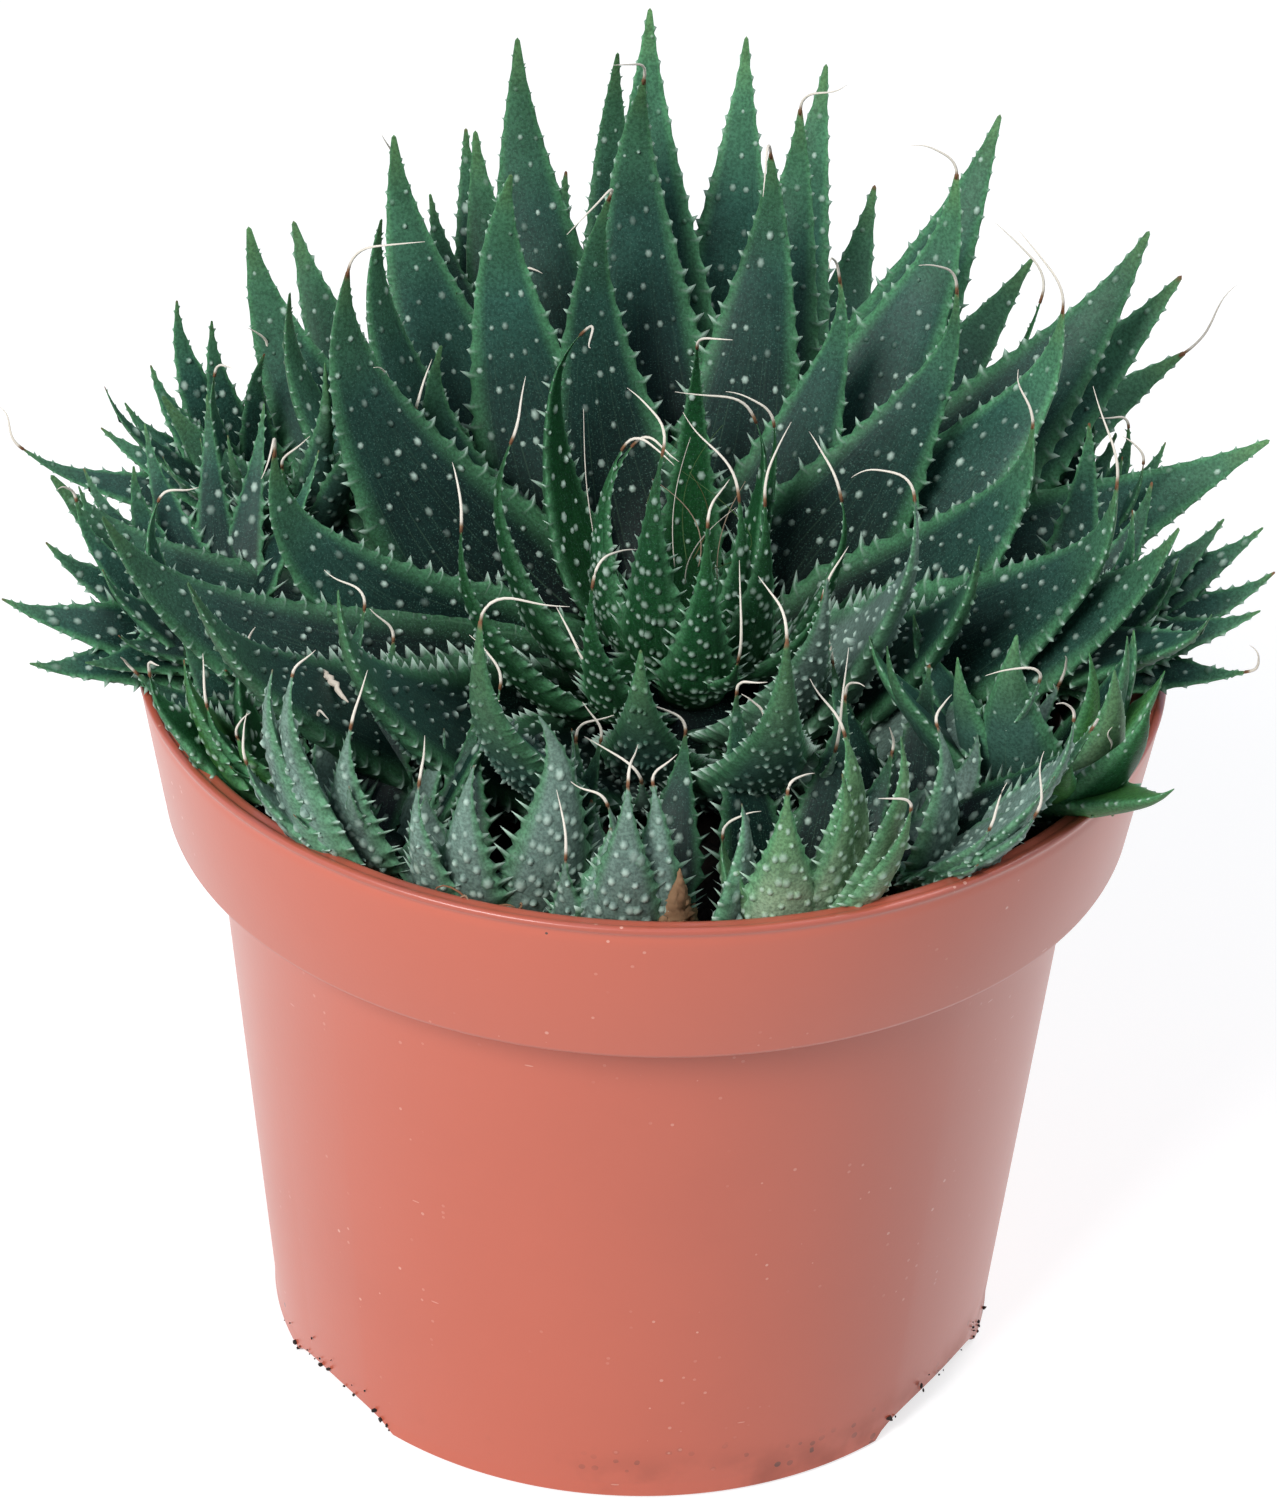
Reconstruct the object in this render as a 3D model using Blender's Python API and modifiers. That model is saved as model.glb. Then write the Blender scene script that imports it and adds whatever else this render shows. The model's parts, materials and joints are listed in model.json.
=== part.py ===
"""Potted lace aloe in a 15 cm nursery pot: pot, soil, crown, separate leaves, offsets and a dried leaf.

Metres, +Z up. The origin is the middle of the pot's foot, which stands on z = 0, and the front faces -Y.
Bearings are degrees anticlockwise from +X seen from above (90 is the back, 270 the front).
Leans are degrees from upright.
"""

from dataclasses import dataclass
from math import atan2, cos, degrees, pi, radians, sin

import bmesh
import bpy
from mathutils import Matrix, Vector

MM = 0.001
GAP = 0.35 * MM          # clearance between pieces that touch on the real plant

# Pot: a thin moulded nursery pot with a collar round its rim
POT_HEIGHT = 115.0 * MM
RIM_RADIUS = 75.0 * MM
COLLAR_HEIGHT = 24.0 * MM
COLLAR_FOOT_RADIUS = 71.0 * MM
WALL_TOP_RADIUS = 64.2 * MM
FOOT_RADIUS = 55.7 * MM
WALL = 1.5 * MM
LIP_WIDTH = 3.4 * MM
FLOOR = 1.8 * MM
POT_STEPS = 56
DRAIN_RING_RADIUS = 30.0 * MM
DRAIN_RADIUS = 4.0 * MM
DRAIN_COUNT = 6
ARCH_BEARINGS = (38, 147, 218, 327)
ARCH_HALF_WIDTH = 12.5 * MM
ARCH_HEIGHT = 3.6 * MM
ARCH_REACH = 4.5 * MM

# Soil
SOIL_EDGE_HEIGHT = 101.0 * MM
SOIL_MIDDLE_HEIGHT = 98.5 * MM
SOIL_STEPS = 32

# Crown: the stem's dome, which every leaf of the rosette grows out of
HEART = Vector((5.0, 2.0, 104.0)) * MM
CROWN_RADIUS = 22.0 * MM
CROWN_RISE = 17.0 * MM
CROWN_STEPS = 16

# Leaves: (bearing, lean, reach in mm) of each tip, seen from the middle of the crown
OUTER_RING = (
    (98, 36, 103), (85, 44, 103), (113, 44, 104), (77, 52, 106), (127, 52, 98), (114, 58, 101),
    (52, 46, 100), (72, 64, 99), (55, 68, 98), (29, 51, 97), (31, 59, 98), (37, 72, 99),
    (17, 70, 95), (132, 66, 102), (145, 58, 97), (160, 69, 90), (183, 68, 99), (199, 63, 97),
    (216, 61, 96), (342, 58, 84),
)
MIDDLE_RING = (
    (75, 38, 90), (75, 28, 81), (102, 28, 91), (46, 38, 87), (19, 44, 80), (165, 40, 81),
    (128, 34, 81), (187, 54, 74), (227, 56, 84), (357, 44, 69), (341, 51, 80), (327, 48, 64),
    (247, 54, 88), (281, 53, 83), (263, 53, 68),
)
INNER_RING = (
    (118, 22, 75), (49, 28, 66), (147, 45, 63), (157, 52, 62), (25, 34, 73), (315, 39, 68),
    (296, 44, 61), (264, 69, 61), (292, 66, 60), (316, 63, 75),
)
HEART_LEAVES = (
    (146, 20, 58), (90, 12, 54), (208, 30, 58), (206, 12, 46), (25, 12, 46), (273, 34, 48),
    (222, 44, 62), (246, 42, 50), (40, 20, 44),
)
LEAF_SIDES = 6
LEAF_CUTS = 7

# Offsets: small rosettes that stand in the soil round the main one
OFFSET_NECK = 3.2 * MM
OFFSET_HEAD = 3.8 * MM
OFFSET_SIDES = 6
OFFSET_CUTS = 4


@dataclass(frozen=True)
class Arc:
    """A leaf's middle line: an arc in an upright plane, from its root and curving up to its tip."""

    root: Vector
    outward: Vector      # level unit vector of the leaf's bearing
    start: float         # lean at the root, radians
    bend: float          # how much more upright the tip grows, radians
    length: float

    def point(self, t: float) -> Vector:
        """Place on the middle line, with t from 0 at the root to 1 at the tip."""
        lean = self.start - self.bend * t
        level = (cos(lean) - cos(self.start)) * self.length / self.bend
        rise = (sin(self.start) - sin(lean)) * self.length / self.bend
        return self.root + self.outward * level + Vector((0, 0, rise))

    def upper_side(self, t: float) -> Vector:
        """Unit vector out of the leaf's upper face, which looks towards the heart."""
        lean = self.start - self.bend * t
        return self.outward * -cos(lean) + Vector((0, 0, sin(lean)))


@dataclass(frozen=True)
class Offset:
    """One small rosette: where it stands and how its leaves are set out, the oldest first."""

    name: str
    bearing: float       # from the pot's middle, degrees
    radius: float        # from the pot's middle, mm
    head: float          # height of its head above the soil's edge, mm
    breadth: float       # how much wider a leaf is for each mm of its length, mm
    leaves: tuple[tuple[float, float, float], ...]   # bearing, lean and length in mm of each


OFFSETS = (
    Offset("offset_front", 267, 60, 5, 0.36, (
        (248, 10, 20), (274, 10, 28), (321, 8, 26), (319, 35, 19), (221, 32, 17), (120, 30, 16),)),
    Offset("offset_front_left", 249, 60, 5, 0.32, (
        (246, 8, 27), (336, 10, 34), (220, 24, 27), (329, 25, 22), (313, 6, 32), (150, 35, 16),)),
    Offset("offset_left_front", 232, 59, 7, 0.26, (
        (207, 24, 38), (219, 22, 38), (207, 44, 28), (244, 18, 27), (150, 30, 20), (40, 30, 18),)),
    Offset("offset_left_low", 210, 58, 8, 0.25, (
        (205, 42, 30), (215, 33, 30), (227, 39, 24), (243, 44, 20), (120, 30, 16),)),
    Offset("offset_left", 187, 62, 16, 0.27, (
        (198, 67, 34), (210, 79, 30), (169, 62, 29), (150, 62, 26), (228, 62, 22), (275, 66, 24),)),
    Offset("offset_left_back", 150, 63, 14, 0.25, (
        (179, 60, 32), (174, 52, 31), (165, 42, 32), (151, 31, 38), (143, 27, 33), (100, 52, 26),)),
    Offset("offset_back", 110, 54, 14, 0.26, (
        (111, 40, 55), (135, 39, 51), (85, 40, 47), (127, 40, 45), (105, 39, 42), (102, 40, 38),)),
    Offset("offset_right_back", 26, 65, 14, 0.26, (
        (30, 31, 24), (15, 42, 25), (9, 49, 23), (50, 46, 21), (5, 30, 19),)),
    Offset("offset_right", 356, 57, 16, 0.27, (
        (338, 77, 30), (350, 66, 32), (359, 62, 35), (8, 55, 36), (12, 49, 32), (70, 23, 34),
        (313, 55, 36),)),
    Offset("offset_right_front", 332, 61, 10, 0.25, (
        (307, 41, 34), (306, 28, 32), (282, 49, 24), (0, 40, 26), (200, 25, 16), (306, 62, 33),)),
    Offset("offset_front_right", 308, 58, 8, 0.27, (
        (305, 47, 24), (321, 41, 33), (332, 32, 38), (295, 26, 30), (30, 30, 20), (200, 30, 16),)),
    Offset("offset_front_low", 288, 60, 5, 0.28, (
        (233, 30, 18), (271, 15, 28), (318, 17, 30), (324, 36, 33), (334, 24, 38), (346, 12, 32),
        (180, 30, 14),)),
)


def level_direction(bearing: float) -> Vector:
    """Level unit vector that points along a bearing in degrees."""
    return Vector((cos(radians(bearing)), sin(radians(bearing)), 0))


def leaf_bend(lean: float) -> float:
    """Degrees that a leaf bends upright along its length: low leaves lie straighter over the rim."""
    return 20 + 0.25 * lean if lean < 60 else 95 - lean


def arc_from_crown(bearing: float, lean: float, reach: float) -> Arc:
    """Arc that leaves the crown's dome squarely and ends where the tip is asked for.

    The root slides over the dome until the chord from it to the tip leans half the bend less than
    the dome's own slope there.
    """
    outward = level_direction(bearing)
    tip = Vector((sin(radians(lean)), cos(radians(lean)))) * reach * MM
    bend = radians(leaf_bend(lean))
    start = radians(lean) + bend / 2
    for _ in range(12):
        slope = min(start, radians(97))
        root = Vector(((CROWN_RADIUS + GAP) * sin(slope), (CROWN_RISE + GAP) * cos(slope)))
        chord = tip - root
        start = atan2(chord.x, chord.y) + bend / 2
    length = chord.length * (bend / 2) / sin(bend / 2)
    return Arc(HEART + outward * root.x + Vector((0, 0, root.y)), outward, start, bend, length)


def leaf_width(length: float) -> float:
    """Width of a leaf at its broadest: long leaves are broad, but not in proportion."""
    return 3.6 * MM + 0.128 * length


def leaf_taper(t: float) -> float:
    """Share of the full width at t: narrow at the root, broad in the lower half, drawn out at the tip."""
    swell = min(t / 0.3, 1)
    return (0.52 + 0.48 * swell * swell * (3 - 2 * swell)) * (1 - t ** 4) + 0.05 * t


def new_object(name: str, bm: bmesh.types.BMesh, collection: bpy.types.Collection) -> bpy.types.Object:
    """Turn a finished bmesh into an object with outward faces in the given collection."""
    bm.normal_update()
    bmesh.ops.recalc_face_normals(bm, faces=bm.faces)
    mesh = bpy.data.meshes.new(name)
    bm.to_mesh(mesh)
    bm.free()
    obj = bpy.data.objects.new(name, mesh)
    collection.objects.link(obj)
    return obj


def leaf_body(arc: Arc, width: float, sides: int = LEAF_SIDES, cuts: int = LEAF_CUTS) -> bmesh.types.BMesh:
    """Closed leaf: a capped cylinder cut into rings, then shaped along the arc.

    Across the leaf the upper side is nearly flat and the under side is full and rounded.
    """
    bm = bmesh.new()
    bmesh.ops.create_cone(bm, cap_ends=True, segments=sides, radius1=1, radius2=1, depth=1)
    long_edges = [e for e in bm.edges if abs(e.verts[0].co.z - e.verts[1].co.z) > 0.5]
    bmesh.ops.subdivide_edges(bm, edges=long_edges, cuts=cuts, use_grid_fill=True)
    across = arc.outward.cross(Vector((0, 0, 1)))
    for vert in bm.verts:
        t = vert.co.z + 0.5
        half = width / 2 * leaf_taper(t)
        depth = half * (0.18 if vert.co.y > 0 else 0.62)
        offset = across * (vert.co.x * half) + arc.upper_side(t) * (vert.co.y * depth)
        vert.co = arc.point(t) + offset
    return bm


def turned(name: str, profile: list[tuple[float, float]], steps: int,
           collection: bpy.types.Collection) -> bpy.types.Object:
    """Solid of revolution about Z from (radius, height) points, top to bottom down the outer side."""
    mesh = bpy.data.meshes.new(name)
    mesh.from_pydata([(r, 0, z) for r, z in profile], [(i, i + 1) for i in range(len(profile) - 1)], [])
    obj = bpy.data.objects.new(name, mesh)
    collection.objects.link(obj)
    screw = obj.modifiers.new("turn", "SCREW")
    screw.steps = screw.render_steps = steps
    screw.use_merge_vertices = True
    screw.merge_threshold = 0.00001
    return obj


def add_boolean(obj: bpy.types.Object, operation: str, operand: object) -> None:
    """Add an exact Boolean with one object or a whole collection."""
    mod = obj.modifiers.new(operation.lower(), "BOOLEAN")
    mod.solver = "EXACT"
    mod.operation = operation
    if isinstance(operand, bpy.types.Collection):
        mod.operand_type = "COLLECTION"
        mod.collection = operand
    else:
        mod.object = operand


def finish(obj: bpy.types.Object, colour: tuple[float, float, float], roughness: float,
           smooth: bool = True) -> None:
    """Give a piece its own material and its shading."""
    mat = bpy.data.materials.new(obj.name)
    mat.use_nodes = True
    shader = mat.node_tree.nodes["Principled BSDF"]
    shader.inputs["Base Color"].default_value = (*colour, 1)
    shader.inputs["Roughness"].default_value = roughness
    shader.inputs["Metallic"].default_value = 0
    obj.data.materials.clear()
    obj.data.materials.append(mat)
    if smooth:
        obj.data.shade_smooth()
        obj.data.set_sharp_from_angle(angle=radians(40))


def pot_profile() -> list[tuple[float, float]]:
    """Section of the pot: out over the floor, up inside, over the lip's bead, down outside and in below."""
    shelf = POT_HEIGHT - COLLAR_HEIGHT
    inner_lip = RIM_RADIUS - LIP_WIDTH
    return [
        (0, FLOOR),
        (FOOT_RADIUS - WALL - 1.0 * MM, FLOOR),
        (FOOT_RADIUS - WALL, FLOOR + 1.0 * MM),
        (WALL_TOP_RADIUS - WALL, shelf + 0.6 * MM),
        (WALL_TOP_RADIUS - WALL + 1.0 * MM, shelf + WALL),
        (COLLAR_FOOT_RADIUS - WALL - 1.0 * MM, shelf + WALL + 0.4 * MM),
        (COLLAR_FOOT_RADIUS - WALL, shelf + WALL + 1.4 * MM),
        (inner_lip, POT_HEIGHT - 0.9 * MM),
        (inner_lip + 0.5 * MM, POT_HEIGHT - 0.4 * MM),
        (RIM_RADIUS - 1.2 * MM, POT_HEIGHT - 0.4 * MM),
        (RIM_RADIUS - 0.9 * MM, POT_HEIGHT),
        (RIM_RADIUS - 0.3 * MM, POT_HEIGHT),
        (RIM_RADIUS, POT_HEIGHT - 0.5 * MM),
        (RIM_RADIUS - 0.2 * MM, POT_HEIGHT - 1.2 * MM),
        (COLLAR_FOOT_RADIUS, shelf + 0.6 * MM),
        (COLLAR_FOOT_RADIUS - 0.6 * MM, shelf),
        (WALL_TOP_RADIUS + 0.9 * MM, shelf - 0.3 * MM),
        (WALL_TOP_RADIUS, shelf - 1.2 * MM),
        (FOOT_RADIUS, 2.2 * MM),
        (FOOT_RADIUS - 0.5 * MM, 0.6 * MM),
        (FOOT_RADIUS - 1.4 * MM, 0),
        (0, 0),
    ]


def soil_profile() -> list[tuple[float, float]]:
    """Section of the soil, which fills the pot to a little under its rim."""
    shelf = POT_HEIGHT - COLLAR_HEIGHT + WALL
    up_collar = (SOIL_EDGE_HEIGHT - shelf) / (POT_HEIGHT - shelf)
    collar_inside = COLLAR_FOOT_RADIUS - WALL + up_collar * (RIM_RADIUS - LIP_WIDTH - COLLAR_FOOT_RADIUS + WALL)
    wall_inside = WALL_TOP_RADIUS - WALL
    return [
        (0, SOIL_MIDDLE_HEIGHT),
        (30 * MM, SOIL_MIDDLE_HEIGHT),
        (54 * MM, SOIL_EDGE_HEIGHT - 0.6 * MM),
        (collar_inside - GAP, SOIL_EDGE_HEIGHT),
        (COLLAR_FOOT_RADIUS - WALL - GAP, shelf + 2.4 * MM),
        (COLLAR_FOOT_RADIUS - WALL - 2 * MM, shelf + 0.4 * MM + GAP),
        (wall_inside + 0.4 * MM, shelf + GAP),
        (wall_inside - GAP, shelf - 1.2 * MM),
        (FOOT_RADIUS - WALL - GAP, FLOOR + 1.2 * MM),
        (FOOT_RADIUS - WALL - 1.4 * MM, FLOOR + GAP),
        (0, FLOOR + GAP),
    ]


def crown_profile() -> list[tuple[float, float]]:
    """Section of the crown: a dome on a short neck that stands on the soil, from its own middle."""
    dome = [(CROWN_RADIUS * sin(a * pi / 12), HEART.z + CROWN_RISE * cos(a * pi / 12)) for a in range(7)]
    return dome + [
        (CROWN_RADIUS - 0.3 * MM, HEART.z - 2.5 * MM),
        (CROWN_RADIUS - 2.0 * MM, SOIL_MIDDLE_HEIGHT + GAP),
        (0, SOIL_MIDDLE_HEIGHT + GAP),
    ]


def cut_drains(pot: bpy.types.Object, cutters: bpy.types.Collection) -> None:
    """Cut the ring of drain holes in the floor and the low arches where the wall meets the foot."""
    for index in range(DRAIN_COUNT):
        bm = bmesh.new()
        place = level_direction(360 / DRAIN_COUNT * index) * DRAIN_RING_RADIUS
        bmesh.ops.create_cone(bm, cap_ends=True, segments=16, radius1=DRAIN_RADIUS, radius2=DRAIN_RADIUS,
                              depth=8 * MM, matrix=Matrix.Translation(place))
        new_object(f"drain_cutter_{index}", bm, cutters)
    for index, bearing in enumerate(ARCH_BEARINGS):
        bm = bmesh.new()
        bmesh.ops.create_cone(bm, cap_ends=True, segments=24, radius1=1, radius2=1, depth=2 * ARCH_REACH,
                              matrix=Matrix.Rotation(pi / 2, 4, "Y"))
        bmesh.ops.scale(bm, vec=(1, ARCH_HALF_WIDTH, ARCH_HEIGHT), verts=bm.verts)
        bmesh.ops.translate(bm, vec=(FOOT_RADIUS, 0, 0), verts=bm.verts)
        bmesh.ops.rotate(bm, verts=bm.verts, matrix=Matrix.Rotation(radians(bearing), 3, "Z"))
        new_object(f"arch_cutter_{index}", bm, cutters)
    add_boolean(pot, "DIFFERENCE", cutters)


def offset_arcs(offset: Offset) -> list[Arc]:
    """Arcs of an offset's leaves. Younger ones start higher on its head, and upright ones bend more."""
    head = level_direction(offset.bearing) * offset.radius * MM
    head.z = SOIL_EDGE_HEIGHT + offset.head * MM
    arcs = []
    for index, (bearing, lean, length) in enumerate(offset.leaves):
        young = index / (len(offset.leaves) - 1)
        outward = level_direction(bearing)
        bend = radians(34) - 0.35 * radians(lean)
        root = head + outward * 1.2 * MM + Vector((0, 0, (young - 0.4) * 3 * MM))
        arcs.append(Arc(root, outward, radians(lean) + bend / 2, bend, length * MM))
    return arcs


def build_offset(offset: Offset, parts: bpy.types.Collection, cutters: bpy.types.Collection) -> bpy.types.Object:
    """Join an offset's neck, head and leaves into one closed solid."""
    head = level_direction(offset.bearing) * offset.radius * MM
    head.z = SOIL_EDGE_HEIGHT + offset.head * MM
    foot = SOIL_EDGE_HEIGHT + GAP
    bm = bmesh.new()
    middle = Vector((head.x, head.y, (foot + head.z) / 2))
    bmesh.ops.create_cone(bm, cap_ends=True, segments=10, radius1=OFFSET_NECK, radius2=OFFSET_NECK,
                          depth=head.z - foot, matrix=Matrix.Translation(middle))
    body = new_object(offset.name, bm, parts)
    joined = bpy.data.collections.new(offset.name + "_pieces")
    cutters.children.link(joined)
    bm = bmesh.new()
    bmesh.ops.create_uvsphere(bm, u_segments=10, v_segments=6, radius=OFFSET_HEAD,
                              matrix=Matrix.Translation(head))
    new_object(offset.name + "_head", bm, joined)
    for index, arc in enumerate(offset_arcs(offset)):
        width = 1.5 * MM + offset.breadth * arc.length
        leaf = leaf_body(arc, width, OFFSET_SIDES, OFFSET_CUTS)
        new_object(f"{offset.name}_leaf_{index}", leaf, joined)
    add_boolean(body, "UNION", joined)
    return body


def build_crown(parts: bpy.types.Collection, cutters: bpy.types.Collection) -> bpy.types.Object:
    """Join the stem's dome and the youngest leaves, which still sheath each other."""
    crown = turned("crown", crown_profile(), CROWN_STEPS, parts)
    crown.location = (HEART.x, HEART.y, 0)
    joined = bpy.data.collections.new("crown_pieces")
    cutters.children.link(joined)
    for index, (bearing, lean, reach) in enumerate(HEART_LEAVES):
        arc = arc_from_crown(bearing, lean, reach)
        sunk = Arc(arc.root - Vector((0, 0, 2 * MM)), arc.outward, arc.start, arc.bend, arc.length)
        new_object(f"heart_leaf_{index}", leaf_body(sunk, leaf_width(arc.length), 6, 5), joined)
    add_boolean(crown, "UNION", joined)
    return crown


def hide_cutters(cutters: bpy.types.Collection) -> None:
    """Show the Boolean operands as wire and keep them out of renders."""
    cutters.hide_render = True
    for obj in cutters.all_objects:
        obj.display_type = "WIRE"
        obj.hide_render = True


def main() -> None:
    """Build every piece of the potted aloe."""
    for obj in list(bpy.data.objects):
        bpy.data.objects.remove(obj, do_unlink=True)
    parts = bpy.data.collections.new("potted_lace_aloe")
    cutters = bpy.data.collections.new("cutters")
    for collection in (parts, cutters):
        bpy.context.scene.collection.children.link(collection)

    pot = turned("pot", pot_profile(), POT_STEPS, parts)
    pot_cutters = bpy.data.collections.new("pot_cutters")
    cutters.children.link(pot_cutters)
    cut_drains(pot, pot_cutters)
    finish(pot, (0.55, 0.16, 0.11), 0.45)

    soil = turned("soil", soil_profile(), SOIL_STEPS, parts)
    finish(soil, (0.03, 0.022, 0.016), 0.95)

    finish(build_crown(parts, cutters), (0.10, 0.24, 0.08), 0.55)
    for index, (bearing, lean, reach) in enumerate(OUTER_RING + MIDDLE_RING + INNER_RING, start=1):
        arc = arc_from_crown(bearing, lean, reach)
        leaf = new_object(f"leaf_{index:02d}", leaf_body(arc, leaf_width(arc.length)), parts)
        finish(leaf, (0.05, 0.14, 0.08), 0.5)
    for offset in OFFSETS:
        finish(build_offset(offset, parts, cutters), (0.09, 0.20, 0.10), 0.5)
    hide_cutters(cutters)


main()
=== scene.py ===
"""Looks of a potted lace aloe: toothed, spotted leaves with dry ends, offsets, soil and a plastic pot.

Metres, +Z up. Bearings are degrees anticlockwise from +X seen from above, and leans are degrees from
upright. Each piece but the stray soil and the dry bits stands for a CAD node, and ends where it ends.
"""

from __future__ import annotations

import json
import logging
import math
from collections.abc import Callable, Sequence
from dataclasses import dataclass, field, replace
from enum import Enum

import bpy
import numpy as np
from mathutils import Matrix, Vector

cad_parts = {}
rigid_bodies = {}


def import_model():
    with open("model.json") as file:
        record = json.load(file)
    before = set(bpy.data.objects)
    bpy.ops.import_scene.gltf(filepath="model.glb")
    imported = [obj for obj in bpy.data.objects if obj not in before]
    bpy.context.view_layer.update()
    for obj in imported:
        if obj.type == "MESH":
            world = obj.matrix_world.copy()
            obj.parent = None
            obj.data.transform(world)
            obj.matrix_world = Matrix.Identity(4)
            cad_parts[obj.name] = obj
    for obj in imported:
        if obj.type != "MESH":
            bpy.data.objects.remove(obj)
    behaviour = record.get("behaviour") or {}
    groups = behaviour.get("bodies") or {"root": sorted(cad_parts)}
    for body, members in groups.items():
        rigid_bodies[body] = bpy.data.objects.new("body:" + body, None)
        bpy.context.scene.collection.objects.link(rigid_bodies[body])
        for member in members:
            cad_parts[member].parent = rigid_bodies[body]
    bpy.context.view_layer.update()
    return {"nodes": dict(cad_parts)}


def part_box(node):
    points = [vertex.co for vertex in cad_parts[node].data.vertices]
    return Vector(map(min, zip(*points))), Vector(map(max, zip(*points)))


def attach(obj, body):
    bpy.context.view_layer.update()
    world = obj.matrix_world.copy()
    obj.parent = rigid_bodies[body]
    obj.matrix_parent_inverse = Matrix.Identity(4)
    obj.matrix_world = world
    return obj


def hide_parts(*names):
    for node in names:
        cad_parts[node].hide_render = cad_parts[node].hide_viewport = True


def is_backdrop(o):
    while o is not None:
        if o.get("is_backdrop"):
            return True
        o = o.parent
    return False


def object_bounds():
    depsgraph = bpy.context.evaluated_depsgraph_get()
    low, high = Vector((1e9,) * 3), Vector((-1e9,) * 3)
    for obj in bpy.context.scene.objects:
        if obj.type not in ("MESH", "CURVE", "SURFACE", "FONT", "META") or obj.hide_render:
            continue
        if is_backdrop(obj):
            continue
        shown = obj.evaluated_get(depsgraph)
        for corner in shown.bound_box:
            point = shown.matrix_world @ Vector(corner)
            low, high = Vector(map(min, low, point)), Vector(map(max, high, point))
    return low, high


LOG = logging.getLogger("lace_aloe")
Colour = tuple[float, float, float]
WHITE = (1.0, 1.0, 1.0)
MM = 0.001
UP = np.array([0.0, 0.0, 1.0])
THREAD_SIDE = np.array([0.36, 0.48, 0.8])
HEART = np.array([5.0, 2.0, 104.0]) * MM
AIMINGS = 4
TIP_RING = 6
SLENDER = {"point": 1.1, "draw": 1.45}
AIM_STEP = 0.8


class Habit(Enum):
    """How a leaf is coloured and armed."""

    DEEP = "dark green, spaced teeth and few spots above"
    YOUNG = "fresh green, in the heart"
    GREY = "grey-green and broad, close teeth and many warts"
    LIGHT = "light green and nearly smooth, with a pale base"
    BRIGHT = "bright young green"


def smooth(x: np.ndarray) -> np.ndarray:
    """Smooth step: 3x² − 2x³ of x held between 0 and 1."""
    x = np.clip(x, 0.0, 1.0)
    return x * x * (3 - 2 * x)


def sine(angle: float) -> float:
    """Sine of an angle in degrees."""
    return math.sin(math.radians(angle))


def cosine(angle: float) -> float:
    """Cosine of an angle in degrees."""
    return math.cos(math.radians(angle))


def level(bearing: float) -> np.ndarray:
    """Level unit vector along a bearing in degrees."""
    return np.array([cosine(bearing), sine(bearing), 0.0])


def frontness(bearing: float) -> float:
    """How far a bearing points to the front: 1 along -Y and 0 along +Y."""
    return 0.5 - 0.5 * sine(bearing)


def unit(vectors: np.ndarray) -> np.ndarray:
    """Rows of vectors at length one."""
    return vectors / np.linalg.norm(vectors, axis=1, keepdims=True)


def circle(sides: int) -> np.ndarray:
    """Evenly spaced angles round a full turn."""
    return np.arange(sides) * 2 * math.pi / sides


def polar(place: np.ndarray) -> tuple[float, float, float]:
    """Bearing and lean in degrees, and reach in millimetres, of a place counted from the heart."""
    lean = math.degrees(math.atan2(math.hypot(place[0], place[1]), place[2]))
    return math.degrees(math.atan2(place[1], place[0])), lean, float(np.linalg.norm(place)) / MM


@dataclass
class Flesh:
    """Vertices, faces and paint of one piece, gathered part by part.

    Paint holds how pale, how dry and how young a point is, and its leaf's tone, which on some leaves also
    carries painted shade. Lay holds the place on the leaf: across from -1 to 1, along from 0 to 1, and 1 on
    the under side.
    """

    points: list[np.ndarray] = field(default_factory=list)
    paint: list[np.ndarray] = field(default_factory=list)
    lay: list[np.ndarray] = field(default_factory=list)
    quads: list[np.ndarray] = field(default_factory=list)
    count: int = 0

    def add(self, points: np.ndarray, quads: np.ndarray, paint: np.ndarray, lay: np.ndarray) -> None:
        """Add one part.

        Args:
            points: Places, one row each.
            quads: Rows of four point numbers; a triangle repeats its last one.
            paint: Four numbers for each point.
            lay: Three numbers for each point.
        """
        self.points.append(points)
        self.paint.append(paint)
        self.lay.append(lay)
        self.quads.append(quads + self.count)
        self.count += len(points)

    def add_plain(self, points: np.ndarray, quads: np.ndarray, tone: float = 0.5,
                  along: float = 0.0) -> None:
        """Add a part with nothing pale, dry or young, all at one place along a leaf."""
        rows = (len(points), 1)
        self.add(points, quads, np.tile([0.0, 0.0, 0.0, tone], rows), np.tile([0.0, along, 0.0], rows))

    def to_object(self, name: str, material: bpy.types.Material) -> bpy.types.Object:
        """Make one smooth object of everything gathered.

        Args:
            name: The object's name.
            material: Its only material.

        Returns:
            The new object, linked to the scene, at the origin.
        """
        points = np.concatenate(self.points)
        quads = np.concatenate(self.quads)
        mesh = bpy.data.meshes.new(name)
        triangle = quads[:, 2] == quads[:, 3]
        totals = np.where(triangle, 3, 4)
        keep = np.ones(quads.shape, bool)
        keep[triangle, 3] = False
        mesh.vertices.add(len(points))
        mesh.vertices.foreach_set("co", points.astype(np.float32).ravel())
        mesh.loops.add(int(totals.sum()))
        mesh.loops.foreach_set("vertex_index", quads[keep].astype(np.int32))
        mesh.polygons.add(len(quads))
        mesh.polygons.foreach_set("loop_start", (np.cumsum(totals) - totals).astype(np.int32))
        mesh.update(calc_edges=True)
        for label, kind, key, rows in (("paint", "FLOAT_COLOR", "color", self.paint),
                                       ("lay", "FLOAT_VECTOR", "vector", self.lay)):
            data = mesh.attributes.new(label, kind, "POINT").data
            data.foreach_set(key, np.concatenate(rows).astype(np.float32).ravel())
        mesh.materials.append(material)
        mesh.shade_smooth()
        mesh.validate()
        made = bpy.data.objects.new(name, mesh)
        bpy.context.scene.collection.objects.link(made)
        return made


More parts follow.
